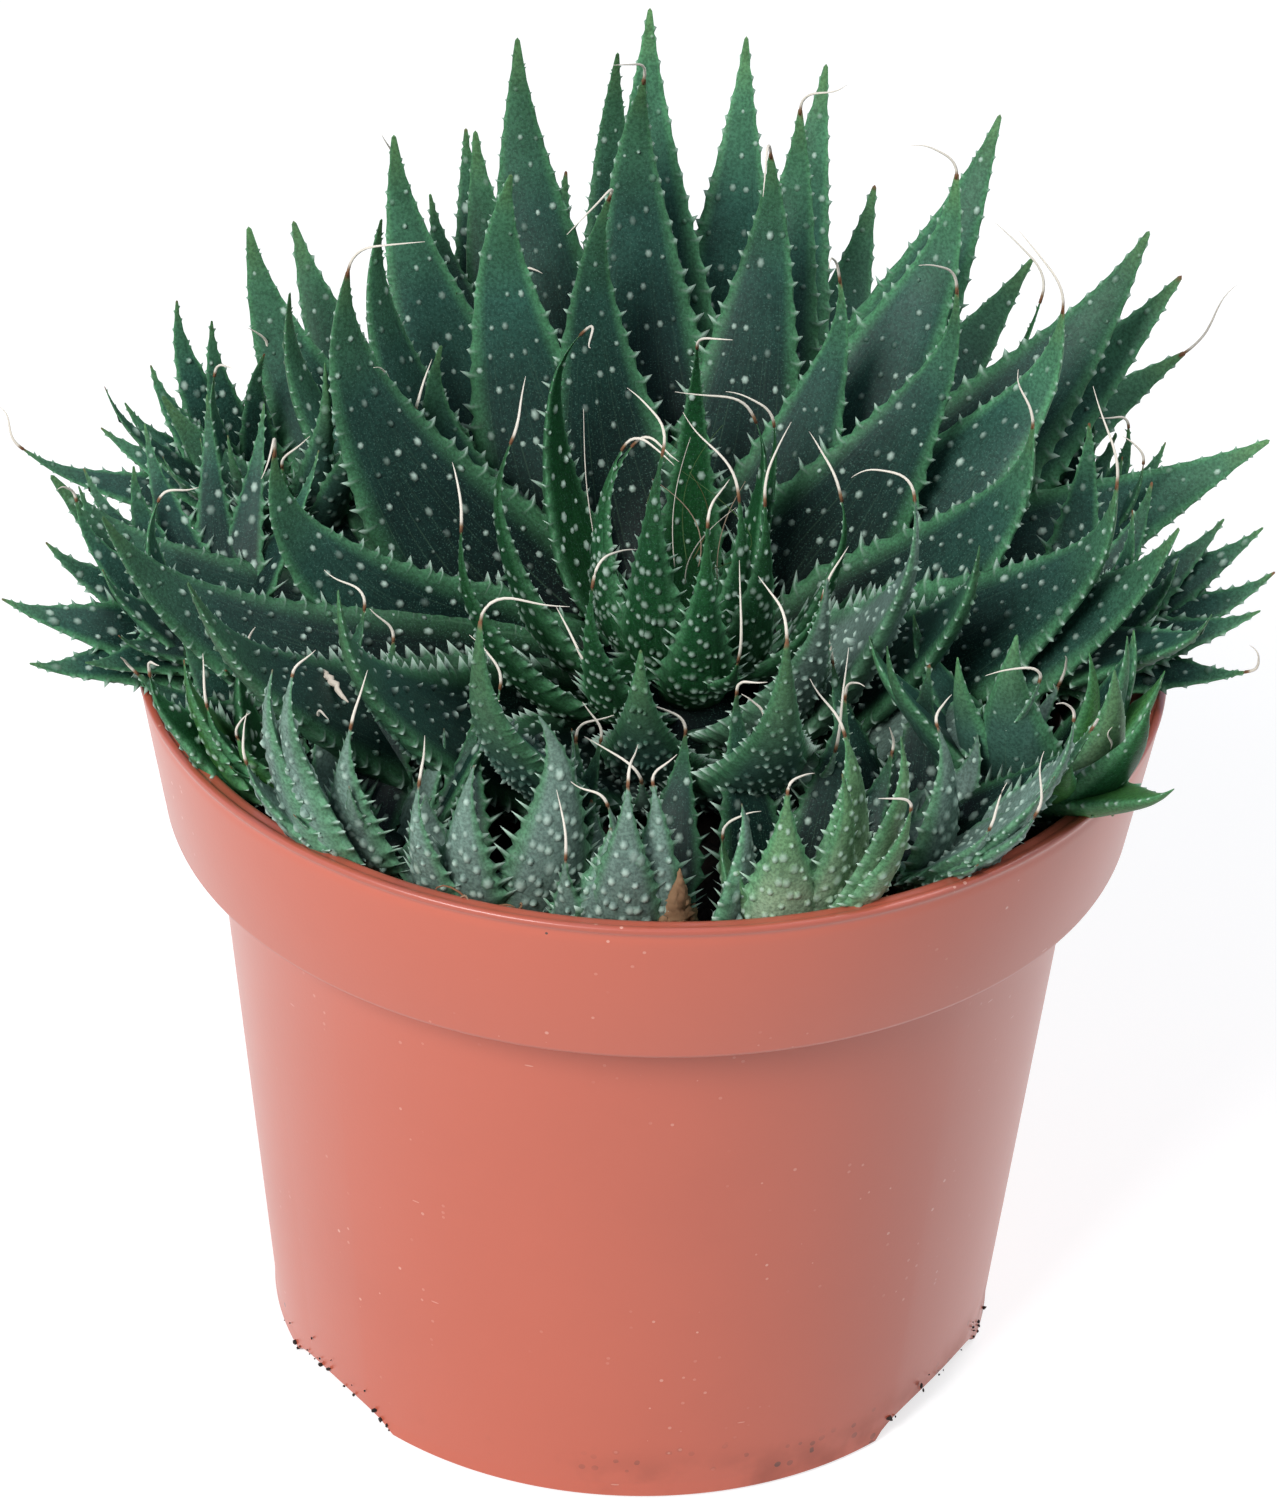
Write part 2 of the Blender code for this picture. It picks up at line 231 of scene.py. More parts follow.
def tube_quads(rings: int, sides: int) -> np.ndarray:
    """Quads of a tube of rings, row after row, with each ring closed on itself."""
    ring, side = np.meshgrid(np.arange(rings - 1), np.arange(sides), indexing="ij")
    ahead = (side + 1) % sides
    quads = np.stack([ring * sides + side, ring * sides + ahead,
                      (ring + 1) * sides + ahead, (ring + 1) * sides + side], -1)
    return quads.reshape(-1, 4)


def fan(centre: int, ring: np.ndarray) -> np.ndarray:
    """Triangles from one point to a closed ring of points, in the ring's own direction."""
    ahead = np.roll(ring, -1)
    return np.stack([ring, ahead, np.full_like(ring, centre), np.full_like(ring, centre)], -1)


def add_thread(flesh: Flesh, path: np.ndarray, radius: np.ndarray, paint: np.ndarray,
               sides: int = 5) -> None:
    """Add a closed tube round a path, with a point at its far end.

    Each ring stands square to the path's own direction, which is the difference of its neighbours.

    Args:
        flesh: What it is added to.
        path: Places along the middle.
        radius: The tube's radius at each place.
        paint: Four paint numbers at each place.
        sides: Points round the tube.
    """
    heading = unit(np.gradient(path, axis=0))
    first = unit(np.cross(heading, THREAD_SIDE))
    second = np.cross(heading, first)
    angle, wide = circle(sides)[:, None], radius[:, None, None]
    points = (path[:, None] + first[:, None] * (np.cos(angle) * wide)
              + second[:, None] * (np.sin(angle) * wide))
    points = np.concatenate([points.reshape(-1, 3), path[-1:], path[:1]])
    colours = np.concatenate([np.repeat(paint, sides, axis=0), paint[-1:], paint[:1]])
    lay = np.zeros((len(points), 3))
    lay[:, 1] = 1
    last = len(path) * sides
    quads = np.concatenate([tube_quads(len(path), sides), fan(last, np.arange(last - sides, last)),
                            fan(last + 1, np.arange(sides))[:, [1, 0, 2, 3]]])
    flesh.add(points, quads, colours, lay)


@dataclass(frozen=True)
class Stem:
    """A leaf's middle line: an arc in an upright plane, with a curl near its tip and a slight sway.

    The lean from upright at t is start − bend·t − curl·smooth((t − 0.7)/0.3), and the bearing turns by
    sway·t². The place is the sum of the unit steps along that heading. The blade is turned about the line
    by its roll.
    """

    root: np.ndarray
    outward: np.ndarray
    start: float
    bend: float
    length: float
    curl: float = 0.0
    sway: float = 0.0
    roll: float = 0.0

    def heading(self, t: np.ndarray) -> tuple[np.ndarray, np.ndarray, np.ndarray]:
        """Unit vectors at each t: along the leaf, across it and out of its upper face."""
        lean = self.start - self.bend * t - self.curl * smooth((t - 0.7) / 0.3)
        turn = self.sway * t * t
        side = np.cross(UP, self.outward)
        out = np.cos(turn)[..., None] * self.outward + np.sin(turn)[..., None] * side
        along = out * np.sin(lean)[..., None] + UP * np.cos(lean)[..., None]
        level_across = np.cross(out, UP)
        upper = np.cross(level_across, along)
        across = level_across * math.cos(self.roll) - upper * math.sin(self.roll)
        return along, across, np.cross(across, along)

    @classmethod
    def between(cls, root: np.ndarray, tip: np.ndarray, bend: float, curl: float, sway: float) -> Stem:
        """Middle line from a root to a tip."""
        def towards(aim: np.ndarray) -> Stem:
            """Line whose chord, were it plain, would end at the aim."""
            chord = aim - root
            flat = math.hypot(chord[0], chord[1])
            outward = np.array([chord[0], chord[1], 0]) / max(flat, 1e-6)
            return cls(root, outward, math.atan2(flat, chord[2]) + bend / 2, bend,
                       float(np.linalg.norm(chord)) * (bend / 2) / math.sin(bend / 2), curl, sway)
        return aimed(towards, tip)

    def place(self, t: np.ndarray) -> np.ndarray:
        """Places on the middle line at each t from 0 at the root to 1 at the tip."""
        steps = np.linspace(0, 1, 121)
        along, _, _ = self.heading((steps[1:] + steps[:-1]) / 2)
        path = np.concatenate([np.zeros((1, 3)), np.cumsum(along * self.length / 120, axis=0)])
        return self.root + np.stack([np.interp(t, steps, path[:, axis]) for axis in range(3)], -1)


def aimed(towards: Callable[[np.ndarray], Stem], tip: np.ndarray, origin: np.ndarray | float = 0.0) -> Stem:
    """Middle line that ends on a tip in spite of its curl and sway, by aiming a little beside it.

    Args:
        towards: Makes a line from an aim.
        tip: Where the line has to end, from the origin.
        origin: Where tips and aims are counted from.

    Returns:
        The last line made.
    """
    aim = tip
    for _ in range(AIMINGS):
        stem = towards(aim)
        aim = aim + AIM_STEP * (tip - (stem.place(np.ones(1))[0] - origin))
    return stem


@dataclass(frozen=True)
class LeafLook:
    """Sizes and colouring of one leaf. Lengths are millimetres."""

    width: float
    habit: Habit
    tooth: float = 1.7
    tooth_gap: float = 3.6
    upper_gap: float = 4.6
    under_gap: float = 3.0
    dot: float = 0.72
    wart: float = 0.38
    awn: float = 0.0
    fullness: float = 0.55
    neck: float = 0.80
    belly: float = 0.30
    hold: float = 0.20
    point: float = 1.28
    draw: float = 1.22
    dry: float = 0.0
    burnt: float = 0.0
    # Tone lightens or darkens the whole leaf: partly random, and on some leaves painted shade.
    tone: float = 0.5
    crinkle: float = 0.0


UPPER_COLUMNS = (-1, -0.94, -0.78, -0.42, 0, 0.42, 0.78, 0.94, 1)
COLUMNS = np.array(UPPER_COLUMNS + UPPER_COLUMNS[-2:0:-1])
UNDER = np.arange(len(COLUMNS)) >= len(UPPER_COLUMNS)
MARGIN = np.abs(COLUMNS) == 1
HEM = np.abs(COLUMNS) == 0.94
PLAIN, BESIDE, ON_TOOTH, BETWEEN = range(4)
# Teeth stand on this share of the margin from this place on, and rings end before the very tip.
FIRST_TOOTH, TOOTHED, LAST_RING, LAST_PLACE = 0.05, 0.93, 0.995, 0.997
FEWEST_TEETH = 5
TOOTH_FOOT = 0.75 * MM
# Shares of a tooth's size: what stands out at its hem and foot, the margin drawn in between teeth, and
# how far its tip lies ahead of and above its foot.
AT_HEM, AT_FOOT, DRAWN_IN, AHEAD, UPWARD = 0.30, 0.16, 0.20, 0.75, 0.2
PALE_MARGIN, PALE_HEM = 0.12, 0.35
DRY_END, AWNED_END = 1.3 * MM, 0.5
WART_STEPS = (0.7548777, 0.5698403)
WART_SIDES = 6
# Radius, height and greatest height of a wart's two rings, as shares of its own and in metres.
WART_RINGS = ((1.0, -0.25, 0.3 * MM), (0.55, 0.55, 1.0))
AWN_POINTS = 16
YOUNGNESS = {Habit.DEEP: 0.0, Habit.GREY: 0.08, Habit.YOUNG: 0.2, Habit.LIGHT: 0.55, Habit.BRIGHT: 1.0}


@dataclass
class Leaf:
    """One leaf, with its margin teeth, spots and warts, and its dry end."""

    stem: Stem
    look: LeafLook
    rng: np.random.Generator

    def half(self, t: np.ndarray) -> np.ndarray:
        """Half width at t: swells from the neck to the belly, then runs out as (1 − u^point)^draw.

        Here u is how far t is on its way from hold to 1.
        """
        look = self.look
        swell = look.neck + (1 - look.neck) * smooth(t / look.belly)
        run = np.clip((t - look.hold) / (1 - look.hold), 0, 1)
        return look.width / 2 * MM * (swell * (1 - run ** look.point) ** look.draw + 0.022 * t)

    def skin(self, x: np.ndarray, t: np.ndarray, under: np.ndarray) -> np.ndarray:
        """Places on the leaf's skin.

        The upper face is a low arch less a shallow channel that fades towards the tip. The under face
        is a full arch. Both meet in a thin margin where x is -1 or 1.

        Args:
            x: Across, from -1 to 1.
            t: Along, from 0 to 1.
            under: True on the under face.

        Returns:
            One place for each x and t.
        """
        along, across, upper = self.stem.heading(t)
        half = self.half(t)
        room = np.clip(1 - x * x, 0, 1)
        channel = 0.34 * (1 - smooth(t / 0.85))
        above = 0.20 * room ** 0.6 - channel * room
        below = -self.look.fullness * room ** 0.6 * (1 + 0.25 * t)
        rise = np.where(under, below, above) * half
        return self.stem.place(t) + across * (x * half)[..., None] + upper * rise[..., None]

    def tooth_places(self) -> np.ndarray:
        """Places of the teeth along one margin, in shares of the leaf, closer towards the tip."""
        count = max(int(self.stem.length / MM * TOOTHED / self.look.tooth_gap), FEWEST_TEETH)
        share = (np.arange(count) + 0.5) / count
        share = FIRST_TOOTH + TOOTHED * (share * 1.25 - 0.25 * share ** 2.2)
        return share + self.rng.uniform(-0.30, 0.30, count) * TOOTHED / count

    def rings(self) -> tuple[np.ndarray, np.ndarray]:
        """Places of the blade's rings along both margins, and what each ring is for.

        They stand before, on and after each tooth, and midway between teeth.
        """
        sides = np.stack([self.tooth_places(), self.tooth_places()])
        foot = np.minimum(TOOTH_FOOT / self.stem.length, 0.30 * np.diff(sides, axis=1).min(initial=1))
        middle = (sides[:, 1:] + sides[:, :-1]) / 2
        lines, kinds = [np.zeros((2, 1)), sides[:, :1] * 0.5], [PLAIN, PLAIN]
        for index in range(sides.shape[1]):
            tip = sides[:, index:index + 1]
            lines += [tip - foot, tip, tip + foot, middle[:, index:index + 1]]
            kinds += [BESIDE, ON_TOOTH, BESIDE, BETWEEN]
        lines[-1], kinds[-1] = np.full((2, 1), LAST_RING), PLAIN
        lines = np.clip(np.concatenate(lines, axis=1), 0, LAST_PLACE)
        return np.maximum.accumulate(lines, axis=1), np.array(kinds)[:, None]

    def add_blade(self, flesh: Flesh) -> None:
        """Add the blade, with its rings joined to a point at the tip and closed at the root.

        The margin's point on a tooth's ring is drawn out and forward to the tooth's tip, and the
        margin between teeth is drawn in, which gives the scalloped edge.
        """
        look = self.look
        lines, kinds = self.rings()
        share = (COLUMNS + 1) / 2
        t = lines[0][:, None] * (1 - share) + lines[1][:, None] * share
        x = np.broadcast_to(COLUMNS, t.shape).copy()
        under = np.broadcast_to(UNDER, t.shape)
        points = self.skin(x, t, under)
        along, across, upper = self.stem.heading(t)
        size = (look.tooth * MM * (1 - 0.80 * smooth((t - 0.35) / 0.5))
                * self.rng.lognormal(0, 0.28, t.shape).clip(0.35, 1.5)) * smooth(t / 0.08)
        tooth = (kinds == ON_TOOTH) & MARGIN
        hem = (kinds == ON_TOOTH) & HEM & ~under
        reach = size * (tooth + AT_HEM * hem + AT_FOOT * ((kinds == BESIDE) & MARGIN)
                        - DRAWN_IN * ((kinds == BETWEEN) & (MARGIN | HEM)))
        points += across * (np.sign(x) * reach)[..., None] + along * (AHEAD * size * tooth)[..., None]
        points += upper * (UPWARD * size * tooth)[..., None]
        pale = tooth + PALE_MARGIN * (MARGIN & ~tooth) + PALE_HEM * hem
        if look.crinkle:
            thin = self.half(t)[..., None] / self.half(t).max()
            points += self.rng.normal(0, look.crinkle * MM, points.shape) * thin
        tip = self.skin(np.zeros(1), np.ones(1), np.zeros(1, bool))
        points = np.concatenate([points.reshape(-1, 3), tip, points[0].mean(0, keepdims=True)])
        start = 1 - DRY_END / self.stem.length
        end_dry = AWNED_END if look.awn else look.burnt
        dry = np.maximum(smooth((t - start) / (1 - start)) * end_dry, look.dry)
        paint = np.concatenate([self.paint(pale.ravel(), dry.ravel()),
                                self.paint(np.zeros(2), np.array([end_dry, look.dry]))])
        lay = np.concatenate([np.stack([x, t, under], -1).reshape(-1, 3), [[0, 1, 0], [0, 0, 0]]])
        sides, last = len(COLUMNS), t.size
        quads = np.concatenate([
            tube_quads(len(t), sides)[:, ::-1],
            fan(last, np.arange(last - sides, last))[:, [1, 0, 2, 3]],
            fan(last + 1, np.arange(sides)),
        ])
        flesh.add(points, quads, paint, lay)

    def paint(self, pale: np.ndarray, dry: np.ndarray) -> np.ndarray:
        """Paint rows for points of this leaf."""
        young, tone = np.full_like(pale, YOUNGNESS[self.look.habit]), np.full_like(pale, self.look.tone)
        return np.stack([pale, dry, young, tone], -1)

    def add_warts(self, flesh: Flesh, under: bool) -> None:
        """Add the raised pale spots of one face: each is two small rings and a peak.

        They are set out evenly but without rows: the k-th lies at the fractional parts of k times two
        irrational steps, and those that fall beside the leaf are left out.

        Args:
            flesh: What they are added to.
            under: Whether they stand on the under face.
        """
        look = self.look
        gap = look.under_gap if under else look.upper_gap
        length = self.stem.length / MM
        count = int(length * look.width / (gap * gap) * 1.15)
        k = np.arange(count) + self.rng.integers(0, 999)
        t = 0.06 + 0.9 * (k * WART_STEPS[0] % 1)
        side = ((k * WART_STEPS[1] % 1) * 2 - 1) * look.width / 2 * MM
        t = t + self.rng.normal(0, 0.12 * gap / length, count)
        half = self.half(t)
        inside = (np.abs(side) < 0.86 * half - 0.25 * MM) & (t < 0.97) & (t > 0.03)
        t, x = t[inside], (side / half)[inside]
        count = len(t)
        if not count:
            return
        flat = np.full(count, under)
        centre = self.skin(x, t, flat)
        ahead = unit(self.skin(x, t + 0.002, flat) - centre)
        normal = unit(np.cross(self.skin(x + 0.02, t, flat) - centre, ahead)) * (-1 if under else 1)
        aside = np.cross(ahead, normal)
        big = look.dot * MM * self.rng.lognormal(0, 0.22, count).clip(0.6, 1.4) * (1 - 0.35 * t)
        tall = look.wart * MM * self.rng.lognormal(0, 0.45, count) * (1 - 0.3 * t)
        longer = self.rng.uniform(1.0, 1.5, count)
        angle = circle(WART_SIDES)[:, None]
        rings = []
        for radius, height, most in WART_RINGS:
            spread = (aside[:, None] * np.cos(angle) * (radius * big)[:, None, None]
                      + ahead[:, None] * np.sin(angle) * (radius * big * longer)[:, None, None])
            lift = (height * np.minimum(tall, most))[:, None, None]
            rings.append(centre[:, None] + spread + normal[:, None] * lift)
        peak = centre + normal * tall[:, None] + ahead * (0.35 * tall)[:, None]
        points = np.concatenate(rings + [peak[:, None]], axis=1)
        each = np.concatenate([tube_quads(2, WART_SIDES),
                               fan(2 * WART_SIDES, np.arange(WART_SIDES, 2 * WART_SIDES))])
        quads = each[None] + (np.arange(count) * points.shape[1])[:, None, None]
        weakest, strongest = (0.25, 0.80) if look.habit is Habit.DEEP else (0.55, 1.0)
        strength = self.rng.uniform(weakest, strongest, count)[:, None] * (0.8 if under else 1.0)
        pale = np.repeat([0.0, 0.68, 1.0], (WART_SIDES, WART_SIDES, 1)) * strength
        lay = np.repeat(np.stack([x, t, flat], -1), points.shape[1], axis=0)
        paint = self.paint(pale.ravel(), np.full(pale.size, look.dry))
        flesh.add(points.reshape(-1, 3), quads.reshape(-1, 4), paint, lay)

    def add_awn(self, flesh: Flesh) -> None:
        """Add the dry thread at the tip: it goes on along the leaf, curls inwards and straightens."""
        s = np.linspace(0, 1, AWN_POINTS)
        along, across, upper = (v[0] for v in self.stem.heading(np.ones(1)))
        hook = math.radians(self.rng.uniform(35, 115)) * (0.5 + 0.5 * min(self.look.awn / 16, 1))
        swerve = math.radians(self.rng.normal(0, 38))
        lean = hook * smooth(s / 0.55) + math.radians(self.rng.normal(0, 25)) * smooth((s - 0.6) / 0.4)
        yaw = swerve * smooth(s * 1.2)
        heading = unit(along * np.cos(lean)[:, None]
                       + (upper * math.cos(swerve) + across * math.sin(swerve)) * np.sin(lean)[:, None]
                       + across * (0.4 * np.sin(yaw * 2))[:, None])
        middle = np.concatenate([np.zeros((1, 3)), np.cumsum((heading[1:] + heading[:-1]) / 2, axis=0)])
        path = self.stem.place(np.array([0.985]))[0] + middle * (self.look.awn * MM) / (AWN_POINTS - 1)
        radius = MM * (0.09 * (1 - s) ** 2 + 0.135 * (1 - s ** 3) + 0.035)
        dry = 0.42 + 0.58 * smooth((s - 0.02) / 0.16)
        add_thread(flesh, path, radius, self.paint(np.zeros(AWN_POINTS), dry))

    def add_to(self, flesh: Flesh) -> None:
        """Add the whole leaf to a piece."""
        self.add_blade(flesh)
        if self.look.habit is not Habit.BRIGHT or self.look.dry:
            self.add_warts(flesh, under=False)
        self.add_warts(flesh, under=True)
        if self.look.awn:
            self.add_awn(flesh)


CRUMB_POINTS = np.array([
    (0, 1, 1.618), (0, -1, 1.618), (0, 1, -1.618), (0, -1, -1.618), (1, 1.618, 0), (-1, 1.618, 0),
    (1, -1.618, 0), (-1, -1.618, 0), (1.618, 0, 1), (-1.618, 0, 1), (1.618, 0, -1), (-1.618, 0, -1)]) / 1.902
CRUMB_FACES = np.array([
    (0, 1, 8), (0, 9, 1), (0, 8, 4), (0, 5, 9), (0, 4, 5), (1, 6, 8), (1, 9, 7), (1, 7, 6), (8, 10, 4),
    (9, 5, 11), (8, 6, 10), (9, 11, 7), (4, 2, 5), (6, 7, 3), (4, 10, 2), (5, 2, 11), (6, 3, 10),
    (7, 11, 3), (2, 10, 3), (2, 3, 11)])


def add_crumbs(flesh: Flesh, centres: np.ndarray, size: np.ndarray, tone: np.ndarray,
               rng: np.random.Generator) -> None:
    """Add small uneven lumps of twenty faces: each corner is drawn out or in by its own amount.

    Args:
        flesh: What they are added to.
        centres: Middle of each lump.
        size: Radius of each lump.
        tone: Paint tone of each lump.
        rng: Source of the unevenness.
    """
    count = len(centres)
    shape = CRUMB_POINTS * rng.uniform(0.6, 1.25, (count, 12, 1)) * rng.uniform(0.5, 1.2, (count, 1, 3))
    points = centres[:, None] + shape * size[:, None, None]
    faces = CRUMB_FACES[None] + (np.arange(count) * 12)[:, None, None]
    quads = np.concatenate([faces, faces[..., -1:]], axis=-1).reshape(-1, 4)
    paint = np.zeros((count, 12, 4))
    paint[..., 3] = tone[:, None]
    flesh.add(points.reshape(-1, 3), quads, paint.reshape(-1, 4), np.zeros((count * 12, 3)))


class Graph:
    """Adds and joins shader nodes in one tree."""

    def __init__(self, tree: bpy.types.NodeTree) -> None:
        """Keep the tree that the nodes go into."""
        self.tree = tree

    def feed(self, socket: bpy.types.NodeSocket, value: object) -> None:
        """Link a socket's source to it, or set its plain value."""
        if isinstance(value, bpy.types.NodeSocket):
            self.tree.links.new(value, socket)
        elif isinstance(value, tuple) and len(value) == 3 and socket.type == "RGBA":
            socket.default_value = (*value, 1)
        else:
            socket.default_value = value

    def node(self, kind: str, inputs: dict[str | int, object] | None = None,
             **settings: object) -> bpy.types.Node:
        """Add a node with its settings and inputs.

        Args:
            kind: The node's type name.
            inputs: Values or sources for its inputs, by name or number.
            settings: Properties of the node.

        Returns:
            The new node.
        """
        made = self.tree.nodes.new(kind)
        for key, value in settings.items():
            setattr(made, key, value)
        for key, value in (inputs or {}).items():
            self.feed(made.inputs[key], value)
        return made

    def math(self, operation: str, *values: object) -> bpy.types.NodeSocket:
        """Result of one sum on one, two or three numbers."""
        return self.node("ShaderNodeMath", dict(enumerate(values)), operation=operation).outputs[0]

    def times(self, a: object, b: object) -> bpy.types.NodeSocket:
        """Product of two numbers."""
        return self.math("MULTIPLY", a, b)

    def plus(self, a: object, b: object) -> bpy.types.NodeSocket:
        """Sum of two numbers."""
        return self.math("ADD", a, b)

    def fade(self, value: object, low: float, high: float, start: float = 0.0,
             end: float = 1.0) -> bpy.types.NodeSocket:
        """Smooth step of a value from start at low to end at high."""
        return self.node("ShaderNodeMapRange", {0: value, 1: low, 2: high, 3: start, 4: end},
                         interpolation_type="SMOOTHSTEP").outputs[0]

    def blend(self, factor: object, a: object, b: object, mode: str = "MIX") -> bpy.types.NodeSocket:
        """Mix of two colours."""
        return self.node("ShaderNodeMix", {0: factor, 6: a, 7: b}, data_type="RGBA",
                         blend_type=mode).outputs[2]

    def noise(self, vector: object, scale: float, detail: float = 3.0,
              roughness: float = 0.55) -> bpy.types.NodeSocket:
        """Noise about 0.5 at a number of lumps a metre."""
        return self.node("ShaderNodeTexNoise", {"Vector": vector, "Scale": scale, "Detail": detail,
                                                "Roughness": roughness}).outputs[0]

    def ramp(self, value: object, stops: Sequence[tuple[float, Colour]]) -> bpy.types.NodeSocket:
        """Colour ramp through the given stops."""
        made = self.node("ShaderNodeValToRGB", {0: value})
        band = made.color_ramp.elements
        while len(band) < len(stops):
            band.new(0.5)
        for element, (place, colour) in zip(band, stops):
            element.position, element.color = place, (*colour, 1)
        return made.outputs[0]

    def group(self, tree: bpy.types.NodeTree, vector: object, **values: float) -> bpy.types.Node:
        """Add a shared group with its vector and its other values."""
        return self.node("ShaderNodeGroup", {"Vector": vector, **values}, node_tree=tree)

    def attribute(self, name: str) -> bpy.types.Node:
        """Add a node that reads one of the mesh's attributes."""
        return self.node("ShaderNodeAttribute", attribute_name=name)


def new_group(name: str, inputs: dict[str, float],
              outputs: Sequence[str]) -> tuple[bpy.types.NodeTree, Graph, Sequence, bpy.types.Node]:
    """Start a shader node group that takes a vector and some numbers, and gives numbers.

    Args:
        name: The group's name.
        inputs: Starting value of each number that follows the vector.
        outputs: Names of the numbers that it gives.

    Returns:
        The tree, its graph, the sockets of what it is given, and its output node.
    """
    tree = bpy.data.node_groups.new(name, "ShaderNodeTree")
    tree.interface.new_socket("Vector", in_out="INPUT", socket_type="NodeSocketVector")
    for label, value in inputs.items():
        tree.interface.new_socket(label, in_out="INPUT", socket_type="NodeSocketFloat").default_value = value
    for label in outputs:
        tree.interface.new_socket(label, in_out="OUTPUT", socket_type="NodeSocketFloat")
    graph = Graph(tree)
    return tree, graph, graph.node("NodeGroupInput").outputs, graph.node("NodeGroupOutput")


def mottle_group() -> bpy.types.NodeTree:
    """Cloudy unevenness: a shade about 1, and a height of fine grain."""
    tree, graph, (place, scale, amount, grain, *_), out = new_group(
        "mottle", {"Scale": 60, "Amount": 0.2, "Grain": 2500}, ("Shade", "Height"))
    cloud = graph.noise(place, scale, 5.0, 0.6)
    swing = graph.times(graph.math("SUBTRACT", cloud, 0.5), graph.times(amount, 2.0))
    graph.feed(out.inputs[0], graph.plus(swing, 1.0))
    graph.feed(out.inputs[1], graph.noise(place, grain, 2.0, 0.5))
    return tree


def specks_group() -> bpy.types.NodeTree:
    """Scattered specks: a mask of the middles of some cells of a Voronoi pattern."""
    tree, graph, (place, scale, size, share, *_), out = new_group(
        "specks", {"Scale": 300, "Size": 0.2, "Share": 0.1}, ("Mask",))
    cells = graph.node("ShaderNodeTexVoronoi", {"Vector": place, "Scale": scale})
    near = graph.math("LESS_THAN", cells.outputs["Distance"], size)
    chosen = graph.node("ShaderNodeSeparateColor", {0: cells.outputs["Color"]}).outputs[0]
    graph.feed(out.inputs[0], graph.times(near, graph.math("LESS_THAN", chosen, share)))
    return tree


class Skin:
    """A new material: its graph, its shader and the object's own coordinates."""

    def __init__(self, name: str, **uniform: float) -> None:
        """Start the material with values that are the same all over it.

        Args:
            name: The material's name.
            uniform: The shader's plain values, with _ for the spaces in their names.
        """
        self.material = bpy.data.materials.new(name)
        self.material.use_nodes = True
        self.graph = Graph(self.material.node_tree)
        self.shader = self.material.node_tree.nodes["Principled BSDF"]
        self.place = self.graph.node("ShaderNodeTexCoord").outputs["Object"]
        for key, value in uniform.items():
            self.shader.inputs[key.replace("_", " ")].default_value = value

    def finish(self, colour: object, height: object, strength: float, distance: float,
               rough: object = None) -> bpy.types.Material:
        """Join colour, bump and roughness to the shader.

        Args:
            colour: The base colour's source.
            height: The bump's source.
            strength: The bump's strength.
            distance: The bump's depth in metres.
            rough: The roughness's source, where it varies.

        Returns:
            The finished material.
        """
        bump = self.graph.node("ShaderNodeBump", {"Strength": strength, "Distance": distance,
                                                  "Height": height})
        self.graph.feed(self.shader.inputs["Base Color"], colour)
        self.graph.feed(self.shader.inputs["Normal"], bump.outputs[0])
        if rough is not None:
            self.graph.feed(self.shader.inputs["Roughness"], rough)
        return self.material


